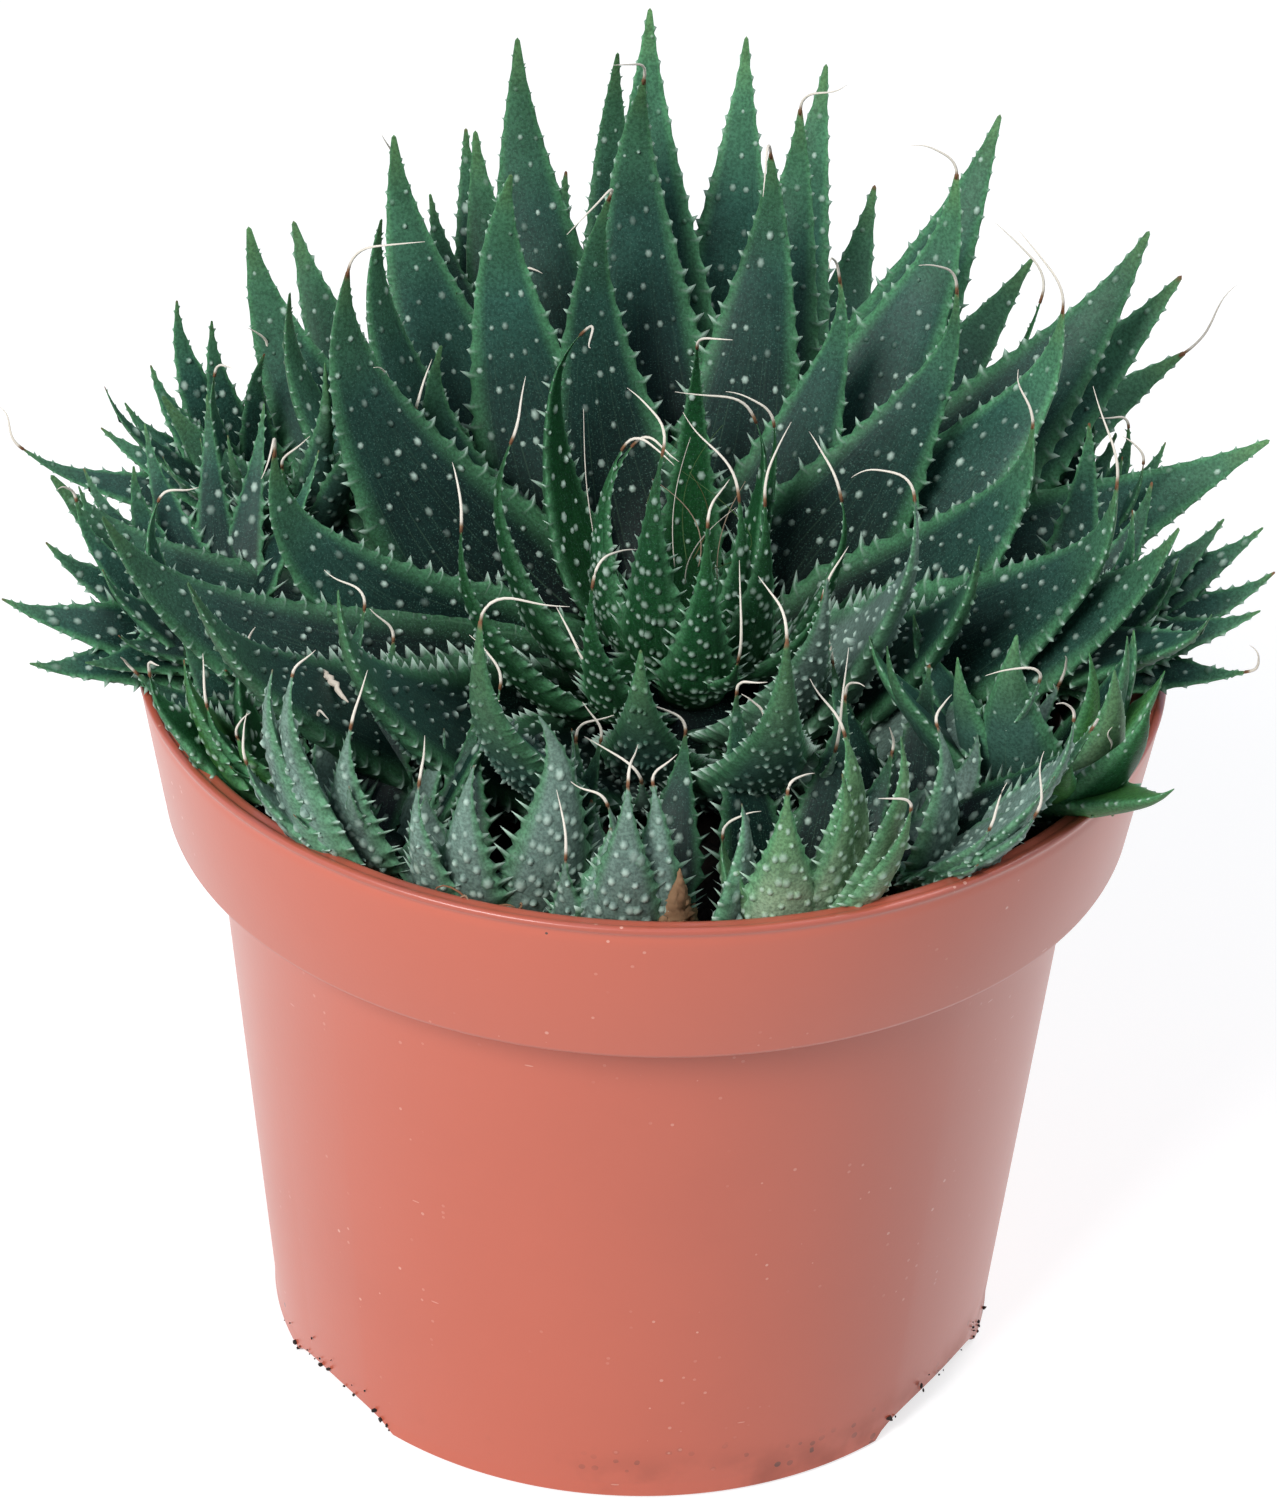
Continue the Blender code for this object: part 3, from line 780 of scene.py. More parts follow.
@dataclass(frozen=True)
class LeafFinish:
    """Waxy leaf skin: four runs of colour from a leaf's base to its tip, and the tints laid over them."""

    # The near-black colours at the base end of upper and under are painted shade where the leaves crowd
    # together.
    upper: tuple = ((0.0, (0.001, 0.004, 0.003)), (0.28, (0.003, 0.012, 0.009)), (0.5, (0.007, 0.026, 0.020)),
                    (0.72, (0.018, 0.060, 0.043)), (0.90, (0.048, 0.140, 0.074)), (1.0, (0.10, 0.22, 0.085)))
    under: tuple = ((0.0, (0.003, 0.010, 0.006)), (0.3, (0.017, 0.048, 0.036)), (0.65, (0.042, 0.104, 0.078)),
                    (1.0, (0.08, 0.20, 0.08)))
    light: tuple = ((0.0, (0.52, 0.58, 0.38)), (0.35, (0.27, 0.38, 0.25)), (0.7, (0.105, 0.205, 0.10)),
                    (1.0, (0.09, 0.20, 0.085)))
    bright: tuple = ((0.0, (0.12, 0.28, 0.06)), (0.5, (0.036, 0.130, 0.026)), (1.0, (0.055, 0.17, 0.055)))
    grey: Colour = (0.165, 0.245, 0.208)
    fresh: Colour = (0.010, 0.070, 0.018)
    bloom_and_glint: Colour = (0.12, 0.26, 0.20)
    pale: Colour = (0.58, 0.75, 0.64)
    brown: Colour = (0.21, 0.095, 0.050)
    husk: Colour = (0.25, 0.155, 0.085)
    cream: Colour = (0.80, 0.74, 0.64)
    rim: Colour = (0.070, 0.220, 0.098)
    line: Colour = (0.14, 0.26, 0.16)

    def material(self, name: str, mottle: bpy.types.NodeTree) -> bpy.types.Material:
        """Build the material.

        Args:
            name: Its name.
            mottle: The shared cloudy group.

        Returns:
            A material that reads each point's paint and lay.
        """
        skin = Skin(name, Specular_IOR_Level=0.12)
        graph, place = skin.graph, skin.place
        paint, lay = graph.attribute("paint"), graph.attribute("lay").outputs["Vector"]
        pale, dry, young = graph.node("ShaderNodeSeparateColor", {0: paint.outputs["Color"]}).outputs
        across, along, below = graph.node("ShaderNodeSeparateXYZ", {0: lay}).outputs
        cloud = graph.group(mottle, place, Scale=110.0, Amount=0.60, Grain=2200.0)
        light, bright = graph.fade(young, 0.3, 0.5), graph.fade(young, 0.6, 0.95)
        green = graph.blend(below, graph.ramp(along, self.upper), graph.ramp(along, self.under))
        green = graph.blend(graph.math("SUBTRACT", light, bright), green, graph.ramp(along, self.light))
        green = graph.blend(bright, green, graph.ramp(along, self.bright))
        for (none, full), (end, gone), share, tint in (((0.0, 0.08), (0.1, 0.16), 0.78, self.grey),
                                                       ((0.1, 0.18), (0.25, 0.4), 0.85, self.fresh)):
            band = graph.fade(young, none, full, 0.0, share)
            green = graph.blend(graph.times(band, graph.fade(young, end, gone, 1.0, 0.0)), green, tint)
        # Lighter green towards the margins: partly the leaf's own edge colour and partly painted light,
        # against the middle where the channel is in shade.
        green = graph.blend(graph.fade(graph.math("ABSOLUTE", across), 0.58, 1.0, 0.0, 0.72), green, self.rim)
        # The tone scales the whole leaf: partly random, and on some leaves painted shade.
        tone = graph.math("MULTIPLY_ADD", paint.outputs["Alpha"], 0.8, 0.6)
        grain = graph.fade(cloud.outputs["Height"], 0.3, 0.7, 0.74, 1.30)
        shade = graph.times(graph.times(cloud.outputs["Shade"], tone), grain)
        shade = graph.node("ShaderNodeCombineColor", dict.fromkeys(range(3), shade)).outputs[0]
        green = graph.blend(1.0, green, shade, "MULTIPLY")
        streak = graph.node("ShaderNodeMapping", {"Vector": lay, "Scale": (22.0, 1.4, 1.0)}).outputs[0]
        lines = graph.noise(streak, 1.0, 2.0)
        green = graph.blend(graph.fade(lines, 0.54, 0.8, 0.0, 0.22), green, self.line)
        # Fine pale bluish stipple: the waxy bloom's own colour and, in part, painted glints of sheen.
        stipple = graph.fade(graph.noise(place, 4200.0, 1.0), 0.60, 0.72, 0.0, 0.30)
        green = graph.blend(stipple, green, self.bloom_and_glint)
        colour = graph.blend(graph.times(graph.fade(pale, 0.0, 1.0), 0.9), green, self.pale)
        fibre = graph.noise(place, 900.0, 4.0, 0.7)
        dead = graph.ramp(dry, ((0.0, self.brown), (0.5, self.brown), (0.62, self.husk), (1.0, self.cream)))
        dead = graph.blend(graph.fade(fibre, 0.45, 0.75, 0.0, 0.35), dead, self.husk)
        dead = graph.blend(graph.fade(dry, 0.8, 1.0), dead, self.cream)
        colour = graph.blend(graph.fade(dry, 0.12, 0.42), colour, dead)
        rough = graph.plus(graph.times(fibre, 0.22), graph.fade(dry, 0.1, 0.5, 0.34, 0.62))
        height = graph.plus(graph.times(cloud.outputs["Height"], 0.5), graph.times(lines, 0.8))
        return skin.finish(colour, height, 0.35, 0.12 * MM, rough)


@dataclass(frozen=True)
class EarthFinish:
    """Peaty soil, near black partly as painted shade, with browner fibres and lighter crumbs."""

    # dark is near black partly as painted shade for the gaps among the leaves.
    dark: Colour = (0.005, 0.004, 0.0035)
    brown: Colour = (0.030, 0.018, 0.012)

    def material(self, name: str, mottle: bpy.types.NodeTree) -> bpy.types.Material:
        """Build the material from the shared cloudy group."""
        skin = Skin(name, Roughness=0.95)
        graph = skin.graph
        cloud = graph.group(mottle, skin.place, Scale=420.0, Amount=0.8, Grain=3000.0).outputs["Shade"]
        mix = graph.fade(graph.times(cloud, graph.attribute("paint").outputs["Alpha"]), 0.15, 1.1)
        return skin.finish(graph.blend(mix, self.dark, self.brown), cloud, 0.8, 0.6 * MM)


@dataclass(frozen=True)
class PlasticFinish:
    """Terracotta-coloured moulded plastic with a satin sheen, pinholes, scratches and soil at its foot."""

    body: Colour = (0.610, 0.136, 0.079)
    deep: Colour = (0.36, 0.075, 0.045)
    dirt: Colour = (0.07, 0.045, 0.035)
    scuff: Colour = (0.82, 0.45, 0.36)

    def material(self, name: str, mottle: bpy.types.NodeTree, specks: bpy.types.NodeTree,
                 height: float) -> bpy.types.Material:
        """Build the material.

        Args:
            name: Its name.
            mottle: The shared cloudy group.
            specks: The shared speck group.
            height: The pot's height, by which the lip is placed.

        Returns:
            The plastic.
        """
        skin = Skin(name, Coat_Weight=0.25, Coat_Roughness=0.18)
        graph, place = skin.graph, skin.place
        rise = graph.node("ShaderNodeSeparateXYZ", {0: place}).outputs[2]
        cloud = graph.group(mottle, place, Scale=26.0, Amount=0.10, Grain=1800.0)
        turned = graph.node("ShaderNodeMapping", {"Vector": place, "Rotation": (0.3, 0.5, 0.9),
                                                  "Scale": (1.0, 1.0, 6.0)}).outputs[0]
        holes, pins, marks, grime = (
            graph.group(specks, vector, Scale=scale, Size=size, Share=share).outputs[0]
            for vector, scale, size, share in ((place, 150.0, 0.055, 0.05), (place, 620.0, 0.17, 0.22),
                                               (turned, 70.0, 0.045, 0.25), (place, 620.0, 0.34, 0.30)))
        cluster = graph.fade(graph.noise(place, 42.0, 3.0), 0.52, 0.70, 0.0, 0.75)
        patch = graph.fade(graph.noise(place, 55.0, 4.0), 0.50, 0.66)
        low = graph.times(graph.fade(rise, 0.0, 0.012, 1.0, 0.0), patch)
        colour = self.body
        for share, tint in (
                (graph.fade(cloud.outputs["Shade"], 0.97, 1.08, 0.0, 0.14), self.deep),
                (graph.fade(rise, height - 0.0016, height - 0.0002, 0.0, 0.55), self.deep),
                (holes, self.dirt), (graph.times(pins, cluster), self.scuff),
                (graph.times(marks, 0.55), self.scuff), (graph.times(grime, low), self.dirt),
                (graph.times(low, 0.35), self.dirt)):
            colour = graph.blend(share, colour, tint)
        rough = graph.plus(graph.times(cloud.outputs["Shade"], 0.16), 0.20)
        return skin.finish(colour, cloud.outputs["Height"], 0.12, 0.1 * MM,
                           graph.plus(rough, graph.times(low, 0.3)))


@dataclass
class Finishes:
    """The materials that the pieces share."""

    leaf: bpy.types.Material
    earth: bpy.types.Material
    plastic: bpy.types.Material

    @classmethod
    def make(cls, height: float) -> Finishes:
        """Build the shared groups once, and each material with its own values."""
        mottle, specks = mottle_group(), specks_group()
        return cls(LeafFinish().material("aloe_skin", mottle), EarthFinish().material("soil", mottle),
                   PlasticFinish().material("pot_plastic", mottle, specks, height))


def rounded(profile: Sequence[tuple[float, float]], radius: float, steps: int = 4) -> np.ndarray:
    """Outline with its corners rounded: each becomes a short parabola between points beside it.

    Args:
        profile: Radius and height of each corner.
        radius: How far from a corner its rounding starts, at most 0.45 of a side.
        steps: Points in each rounding.

    Returns:
        Radius and height of each point.
    """
    corners = np.array(profile)
    before, here, after = corners[:-2], corners[1:-1], corners[2:]
    back, ahead = before - here, after - here
    reach = []
    for side in (back, ahead):
        length = np.linalg.norm(side, axis=1, keepdims=True)
        reach.append(side / length * np.minimum(radius, 0.45 * length))
    s = np.linspace(0, 1, steps)[None, :, None]
    start, stop = (here + reach[0])[:, None], (here + reach[1])[:, None]
    curve = start * (1 - s) ** 2 + here[:, None] * 2 * s * (1 - s) + stop * s ** 2
    return np.concatenate([corners[:1], curve.reshape(-1, 2), corners[-1:]])


def turn_profile(profile: np.ndarray, steps: int) -> tuple[np.ndarray, np.ndarray]:
    """Carry an outline round the upright axis.

    Args:
        profile: Radius and height, from the axis over the top, down the outside and back to the axis.
        steps: Columns round the axis.

    Returns:
        Places and quads of a closed skin.
    """
    angle, inner = circle(steps), profile[1:-1]
    ring = np.stack([inner[:, :1] * np.cos(angle), inner[:, :1] * np.sin(angle),
                     np.broadcast_to(inner[:, 1:], (len(inner), steps))], -1).reshape(-1, 3)
    ends = np.array([[0, 0, profile[0, 1]], [0, 0, profile[-1, 1]]])
    last = len(ring)
    quads = np.concatenate([tube_quads(len(inner), steps)[:, ::-1], fan(last, np.arange(steps)),
                            fan(last + 1, np.arange(last - steps, last))[:, [1, 0, 2, 3]]])
    return np.concatenate([ring, ends]), quads


def round_axis(far: np.ndarray, turn: np.ndarray, height: np.ndarray) -> np.ndarray:
    """Places at distances from the upright axis, angles round it and heights."""
    return np.stack([far * np.cos(turn), far * np.sin(turn), height], -1)


@dataclass(frozen=True)
class Pot:
    """The moulded pot: collar, lip with a bead, tapered wall, foot with four low arches, drained floor."""

    height: float
    rim: float
    collar: float = 24.0 * MM
    collar_foot: float = 71.0 * MM
    wall_top: float = 64.2 * MM
    foot: float = 55.7 * MM
    wall: float = 1.5 * MM
    lip: float = 3.4 * MM
    floor: float = 1.8 * MM
    arches: tuple = ((38, 12.5 * MM, 3.6 * MM), (147, 12.5 * MM, 3.6 * MM), (218, 12.5 * MM, 3.6 * MM),
                     (328, 15.0 * MM, 4.8 * MM))
    arch_reach: float = 4.5 * MM
    drain_ring: float = 30.0 * MM
    drain: float = 4.0 * MM
    drains: int = 6
    steps: int = 288

    def outline(self) -> np.ndarray:
        """Section from the floor's middle up inside, over the lip, down outside and in below."""
        shelf, top, rim = self.height - self.collar, self.height, self.rim
        turned = rounded([
            (0, self.floor), (self.foot - self.wall, self.floor),
            (self.wall_top - self.wall, shelf + 0.9 * MM), (self.collar_foot - self.wall, shelf + self.wall),
            (rim - self.lip, top - 0.4 * MM), (rim - 1.25 * MM, top - 0.4 * MM), (rim - 1.1 * MM, top),
            (rim - 0.1 * MM, top), (rim + 0.05 * MM, top - 0.7 * MM), (rim - 0.42 * MM, top - 1.3 * MM),
            (rim - 0.4 * MM, top - 2.6 * MM), (self.collar_foot + 0.1 * MM, shelf),
            (self.wall_top, shelf - 0.3 * MM), (self.foot + 0.1 * MM, 3.0 * MM),
        ], 0.9 * MM)
        down = np.linspace(2.6, 0.5, 6)[:, None] * MM
        outer = np.concatenate([np.full_like(down, self.foot + 0.1 * MM), down], axis=1)
        within = self.foot - self.arch_reach
        below = np.array([(self.foot - 0.4 * MM, 0.1 * MM), (self.foot - 1.0 * MM, 0), (within + 0.1 * MM, 0),
                          (within, 0), (within - 0.2 * MM, 0), (30 * MM, 0), (0, 0)])
        return np.concatenate([turned, outer, below])

    def roof(self, bearing: np.ndarray) -> np.ndarray:
        """Height of the arches' roofs at bearings in degrees: half ellipses, and zero between them."""
        return np.max([rise * np.sqrt(np.clip(
            1 - (np.radians((bearing - arch + 180) % 360 - 180) * self.foot / half) ** 2, 0, 1))
            for arch, half, rise in self.arches], axis=0)

    def build(self, material: bpy.types.Material) -> bpy.types.Object:
        """Make the pot.

        The foot's arches come from lifting whatever lies low and outside the arch's depth up to a half
        ellipse of the distance along the rim. The drains are cut with an exact Boolean.

        Args:
            material: The plastic.

        Returns:
            The pot's object.
        """
        points, quads = turn_profile(self.outline(), self.steps)
        radius = np.hypot(points[:, 0], points[:, 1])
        roof = self.roof(np.degrees(np.arctan2(points[:, 1], points[:, 0])))
        outside = (radius > self.foot - self.arch_reach - 0.01 * MM) & (points[:, 2] < roof)
        points[outside, 2] = roof[outside]
        flesh = Flesh()
        flesh.add_plain(points, quads)
        pot = flesh.to_object("pot_shell", material)
        for index in range(self.drains):
            self.drill(pot, level(360 / self.drains * index) * self.drain_ring)
        pot.data.shade_smooth()
        pot.data.set_sharp_from_angle(angle=math.radians(50))
        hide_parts("pot")
        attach(pot, "root")
        return pot

    def drill(self, pot: bpy.types.Object, place: np.ndarray) -> None:
        """Cut one drain through the floor."""
        bpy.ops.mesh.primitive_cylinder_add(vertices=32, radius=self.drain, depth=12 * MM, location=place)
        cutter = bpy.context.object
        cut = pot.modifiers.new("drain", "BOOLEAN")
        cut.solver, cut.operation, cut.object = "EXACT", "DIFFERENCE", cutter
        bpy.context.view_layer.objects.active = pot
        with bpy.context.temp_override(object=pot, active_object=pot):
            bpy.ops.object.modifier_apply(modifier=cut.name)
        bpy.data.objects.remove(cutter, do_unlink=True)


@dataclass(frozen=True)
class Soil:
    """The potting mix: a lumpy top with crumbs, and plain sides a gap away from the pot."""

    edge: float
    middle: float
    radius: float
    pot: Pot
    crumbs: int = 900
    gap: float = 0.35 * MM
    seed: int = 5

    def rise(self, share: np.ndarray) -> np.ndarray:
        """Height of the smooth top at shares of the radius: it slopes up and is level near the pot."""
        return self.middle + (self.edge - self.middle) * smooth(share * 1.25)

    def lumps(self, x: np.ndarray, y: np.ndarray, rng: np.random.Generator) -> np.ndarray:
        """Height of the lumps: a sum of waves in random directions, finer ones lower."""
        total = np.zeros_like(x)
        for size in np.geomspace(28, 3.2, 14) * MM:
            turn, phase = rng.uniform(0, 2 * math.pi, 2)
            wave = (x * math.cos(turn) + y * math.sin(turn)) * 2 * math.pi / size + phase
            total += 0.055 * size * np.sin(wave + 1.3 * np.sin(wave.mean() + x / size * 2.1))
        return np.clip(total, -2.4 * MM, 2.4 * MM)

    def build(self, material: bpy.types.Material) -> bpy.types.Object:
        """Make the soil with its crumbs, and let it stand for the CAD's soil."""
        rng, pot, gap = np.random.default_rng(self.seed), self.pot, self.gap
        shelf = pot.height - pot.collar + pot.wall
        top = np.linspace(0, 1, 44)[:, None]
        surface = np.concatenate([top * (self.radius - 0.4 * MM), self.rise(top)], axis=1)
        below = np.array([
            (pot.collar_foot - pot.wall - gap, shelf + 2.4 * MM),
            (pot.collar_foot - pot.wall - 2 * MM, shelf + 0.4 * MM + gap),
            (pot.wall_top - pot.wall - gap, shelf - 1.2 * MM),
            (pot.foot - pot.wall - gap, pot.floor + 1.2 * MM),
            (pot.foot - pot.wall - 1.4 * MM, pot.floor + gap), (0, pot.floor + gap)])
        points, quads = turn_profile(np.concatenate([surface, below]), 160)
        on_top = points[:, 2] > self.middle - 1 * MM
        fade = smooth((self.radius - np.hypot(points[:, 0], points[:, 1])) / (3 * MM))
        points[:, 2] += np.where(on_top, self.lumps(points[:, 0], points[:, 1], rng) * fade, 0)
        flesh = Flesh()
        flesh.add_plain(points, quads, 0.7)
        far = np.sqrt(rng.uniform(0.02, 1, self.crumbs)) * (self.radius - 2.2 * MM)
        turn = rng.uniform(0, 2 * math.pi, self.crumbs)
        size = rng.lognormal(0, 0.45, self.crumbs).clip(0.4, 2.4) * 0.65 * MM
        centres = round_axis(far, turn, self.rise(far / self.radius) + 0.4 * size)
        add_crumbs(flesh, centres, size, rng.uniform(0.3, 1.5, self.crumbs), rng)
        soil = flesh.to_object("soil_mix", material)
        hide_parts("soil")
        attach(soil, "root")
        return soil


@dataclass(frozen=True)
class StraySoil:
    """Crumbs of potting mix stuck round the pot's foot, mostly at the edges of its arches.

    Patches are the bearings round which the crumbs gather, and spread is how far about them.
    """

    pot: Pot
    crumbs: int = 62
    patches: tuple = (204, 212, 228, 320, 330, 343, 40, 145)
    spread: float = 4.0
    size: float = 0.25 * MM
    seed: int = 12

    def build(self, material: bpy.types.Material) -> bpy.types.Object:
        """Scatter the crumbs on the wall near patches, a little sunk into it and clear of the ground."""
        rng = np.random.default_rng(self.seed)
        pot, count = self.pot, self.crumbs
        size = rng.lognormal(0, 0.5, count).clip(0.4, 2.4) * self.size
        turn = np.radians(rng.choice(self.patches, count) + rng.normal(0, self.spread, count))
        rise = pot.roof(np.degrees(turn)) + rng.gamma(0.55, 2.0, count).clip(0.1, 14) * MM
        rise = np.maximum(rise, 1.5 * size)
        far = pot.foot + (pot.wall_top - pot.foot) * rise / (pot.height - pot.collar) + 0.2 * size
        flesh = Flesh()
        add_crumbs(flesh, round_axis(far, turn, rise), size, rng.uniform(0.3, 1.2, count), rng)
        stray = flesh.to_object("stray_soil", material)
        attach(stray, "root")
        return stray


@dataclass(frozen=True)
class DryBits:
    """A cream husk that has dropped between the leaves, and brown root fibres caught at the rim.

    The husk is given by the two ends and the middle corner of its curve in mm, and the fibres by bearing.
    """

    husk: tuple = ((-46.1, -31.0, 127.5), (-44.2, -33.0, 126.1), (-42.3, -36.0, 125.2))
    fibres: tuple = (248, 251, 252, 255, 236, 238, 297)
    rim: float = 71.5 * MM
    lip: float = 114.5 * MM
    steps: int = 10
    seed: int = 21

    def build(self, material: bpy.types.Material) -> bpy.types.Object:
        """Make the husk as a flattened spindle, and each fibre as a thin arch with a random twist."""
        rng = np.random.default_rng(self.seed)
        flesh = Flesh()
        s = np.linspace(0, 1, self.steps)[:, None]
        ends = np.array(self.husk) * MM
        path = ends[0] * (1 - s) ** 2 + 2 * ends[1] * s * (1 - s) + ends[2] * s ** 2
        path += rng.normal(0, 0.16, path.shape) * MM
        thick = 0.48 * np.sin(math.pi * s[:, 0] ** 0.8) ** 0.7
        radius = MM * (0.10 + thick * rng.uniform(0.7, 1.2, self.steps))
        add_thread(flesh, path, radius, np.tile([0, 0.86, 0, 0.6], (self.steps, 1)), 7)
        for bearing in self.fibres:
            out = level(bearing)
            start = out * (self.rim - rng.uniform(0, 3) * MM) + UP * (self.lip - rng.uniform(2, 4) * MM)
            run = np.cross(UP, out) * rng.uniform(-7, 7) * MM + out * rng.uniform(0, 2.0) * MM
            path = start + run * s + UP * np.sin(math.pi * s) * rng.uniform(1.5, 4) * MM
            path += level(bearing + 70) * np.sin(rng.uniform(4, 9) * s) * 0.7 * MM
            paint = np.tile([0, rng.uniform(0.45, 0.7), 0, 0.3], (self.steps, 1))
            add_thread(flesh, path, MM * (0.20 - 0.12 * s[:, 0]), paint)
        bits = flesh.to_object("dry_bits", material)
        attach(bits, "root")
        return bits


@dataclass(frozen=True)
class Rosette:
    """The main plant: a short crown, its youngest leaves, and the grown leaves round it.

    Leaves are numbered from the outer ring to the inner one. Facing is the roll that turns the upper
    face of a sideways leaf up and forward, and veer is the turn of the bearing towards the tip, for any
    sideways leaf and for the side it is on. Sag is bend moved from the back right to the back left. A
    heart leaf that is longer than grown looks like the grown ones.
    """

    crown_radius: float = 22.0 * MM
    crown_rise: float = 17.0 * MM
    gap: float = 0.35 * MM
    sunk: float = 7.0 * MM
    crown_foot: float = 98.9 * MM
    crown_seed: int = 7
    leaf_seed: int = 100
    grown: float = 70.0
    facing: float = 46.0
    veer: tuple = (-12.0, -8.0)
    sag: float = 36.0
    outer: int = 20
    middle: int = 35
    heart_leaves: tuple = (
        (146, 20, 58), (90, 12, 54), (208, 30, 58), (206, 12, 46), (25, 12, 46), (275, 29, 50),
        (222, 44, 62), (246, 42, 50), (40, 20, 44), (205, 14, 46), (250, 15, 50), (302, 24, 47),
        (295, 20, 45), (345, 30, 44), (285, 50, 36), (318, 42, 38), (240, 55, 34), (104, 34, 96),
        (140, 47, 84), (150, 56, 84), (36, 52, 80))

    def reaching(self, bearing: float, lean: float, reach: float, curl: float, sway: float) -> Stem:
        """Middle line from the dome that ends on the tip at a bearing, lean and reach."""
        def towards(aim: np.ndarray) -> Stem:
            """Line whose chord, were it plain, would end at the aim."""
            return self.stem(*polar(aim), curl, sway)
        return aimed(towards, (level(bearing) * sine(lean) + UP * cosine(lean)) * reach * MM, HEART)

    def stem(self, bearing: float, lean: float, reach: float, curl: float, sway: float) -> Stem:
        """Middle line from the crown's dome to a tip.

        The root slides over the dome until the chord to the tip leans half the bend less than the
        dome's slope there. The line is then carried on backwards into the crown.

        Args:
            bearing: The tip's bearing, degrees.
            lean: The tip's lean from upright, degrees.
            reach: Distance of the tip from the heart, mm.
            curl: Extra bend near the tip, degrees.
            sway: Turn of the bearing towards the tip, degrees.

        Returns:
            The leaf's middle line.
        """
        outward = level(bearing)
        tip = np.array([sine(lean), cosine(lean)]) * reach * MM
        bend = 34 + 0.25 * lean if lean < 60 else 139 - 1.5 * lean
        bend = math.radians(max(bend - outward[0] * (6 + self.sag * max(outward[1], 0)), 4))
        start = math.radians(lean) + bend / 2
        for _ in range(12):
            slope = min(start, math.radians(97))
            root = np.array([(self.crown_radius + self.gap) * math.sin(slope),
                             (self.crown_rise + self.gap) * math.cos(slope)])
            chord = tip - root
            start = math.atan2(chord[0], chord[1]) + bend / 2
        length = float(np.linalg.norm(chord)) * (bend / 2) / math.sin(bend / 2)
        back = outward * math.sin(start) + UP * math.cos(start)
        place = HEART + outward * root[0] + UP * root[1] - back * self.sunk
        return Stem(place, outward, start, bend, length + self.sunk, math.radians(curl), math.radians(sway))

    def tip_of(self, node: bpy.types.Object) -> tuple[float, float, float]:
        """Bearing, lean and reach of a CAD leaf's tip, which is its ring farthest from the heart."""
        places = np.empty(len(node.data.vertices) * 3)
        node.data.vertices.foreach_get("co", places)
        away = np.unique(places.reshape(-1, 3).round(6), axis=0) - HEART
        bearing, lean, reach = polar(away[np.argsort((away ** 2).sum(1))[-TIP_RING:]].mean(0))
        return bearing % 360, lean, reach

    def side_turn(self, bearing: float, rng: np.random.Generator) -> float:
        """How far a leaf's bearing turns towards its tip, degrees: every leaf veers the same way round."""
        side = cosine(bearing)
        return rng.normal(self.veer[0] * abs(side) + self.veer[1] * side, 4)

    def look(self, number: int, bearing: float, length: float, rng: np.random.Generator) -> LeafLook:
        """Sizes and colouring of a grown leaf, by its ring and by which way it grows."""
        front, inner = frontness(bearing), number > self.middle
        awned = rng.random() < (0.08 if number <= self.outer else 0.85)
        habit = Habit.GREY if front > 0.6 and inner else Habit.DEEP
        look = LeafLook((3.6 + 0.128 * length) * (1.80 + 0.50 * abs(cosine(bearing))), habit,
                        rng.uniform(1.25, 1.8), 3.7 - 1.2 * front, 4.7 - 1.3 * front, 3.4 - 1.0 * front,
                        wart=0.30 + 0.25 * front, burnt=rng.choice([0.0, 0.22, 0.45]),
                        awn=rng.uniform(9, 16) if awned else 0.0,
                        # The tone carries painted shade: leaves towards the front left are darker and towards
                        # the back right lighter, dark front leaves darker still, with a random part.
                        tone=rng.uniform(-0.15, 0.5) + 0.3 + 0.3 * cosine(bearing - 40)
                        - (0.3 * front if habit is Habit.DEEP else 0))
        return replace(look, hold=0.25, **SLENDER) if inner else look

    def build(self, nodes: dict[str, bpy.types.Object], material: bpy.types.Material) -> None:
        """Make each grown leaf as its own piece, in place of its CAD node."""
        names = sorted(name for name in nodes if name.startswith("leaf_"))
        for number, name in enumerate(names, start=1):
            rng = np.random.default_rng(self.leaf_seed + number)
            bearing, lean, reach = self.tip_of(nodes[name])
            curl = rng.uniform(4, 12) if number <= self.outer else rng.uniform(14, 30)
            roll = math.radians(self.facing * cosine(bearing) + rng.normal(0, 5))
            stem = replace(self.reaching(bearing, lean, reach, curl, self.side_turn(bearing, rng)), roll=roll)
            flesh = Flesh()
            Leaf(stem, self.look(number, bearing, (stem.length - self.sunk) / MM, rng), rng).add_to(flesh)
            leaf = flesh.to_object("aloe_" + name, material)
            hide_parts(name)
            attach(leaf, "root")
        LOG.info("grown leaves: %d", len(names))

    def build_crown(self, material: bpy.types.Material) -> bpy.types.Object:
        """Make the crown, its youngest leaves and the dry threads that stand among them."""
        rng = np.random.default_rng(self.crown_seed)
        flesh = Flesh()
        angle = np.linspace(0, math.pi / 2, 12)[:, None]
        dome = np.concatenate([0.70 * self.crown_radius * np.sin(angle),
                               HEART[2] + 0.55 * self.crown_rise * np.cos(angle)], axis=1)
        foot = np.array([(0.66 * self.crown_radius, self.crown_foot), (0, self.crown_foot)])
        points, quads = turn_profile(np.concatenate([dome, foot]), 40)
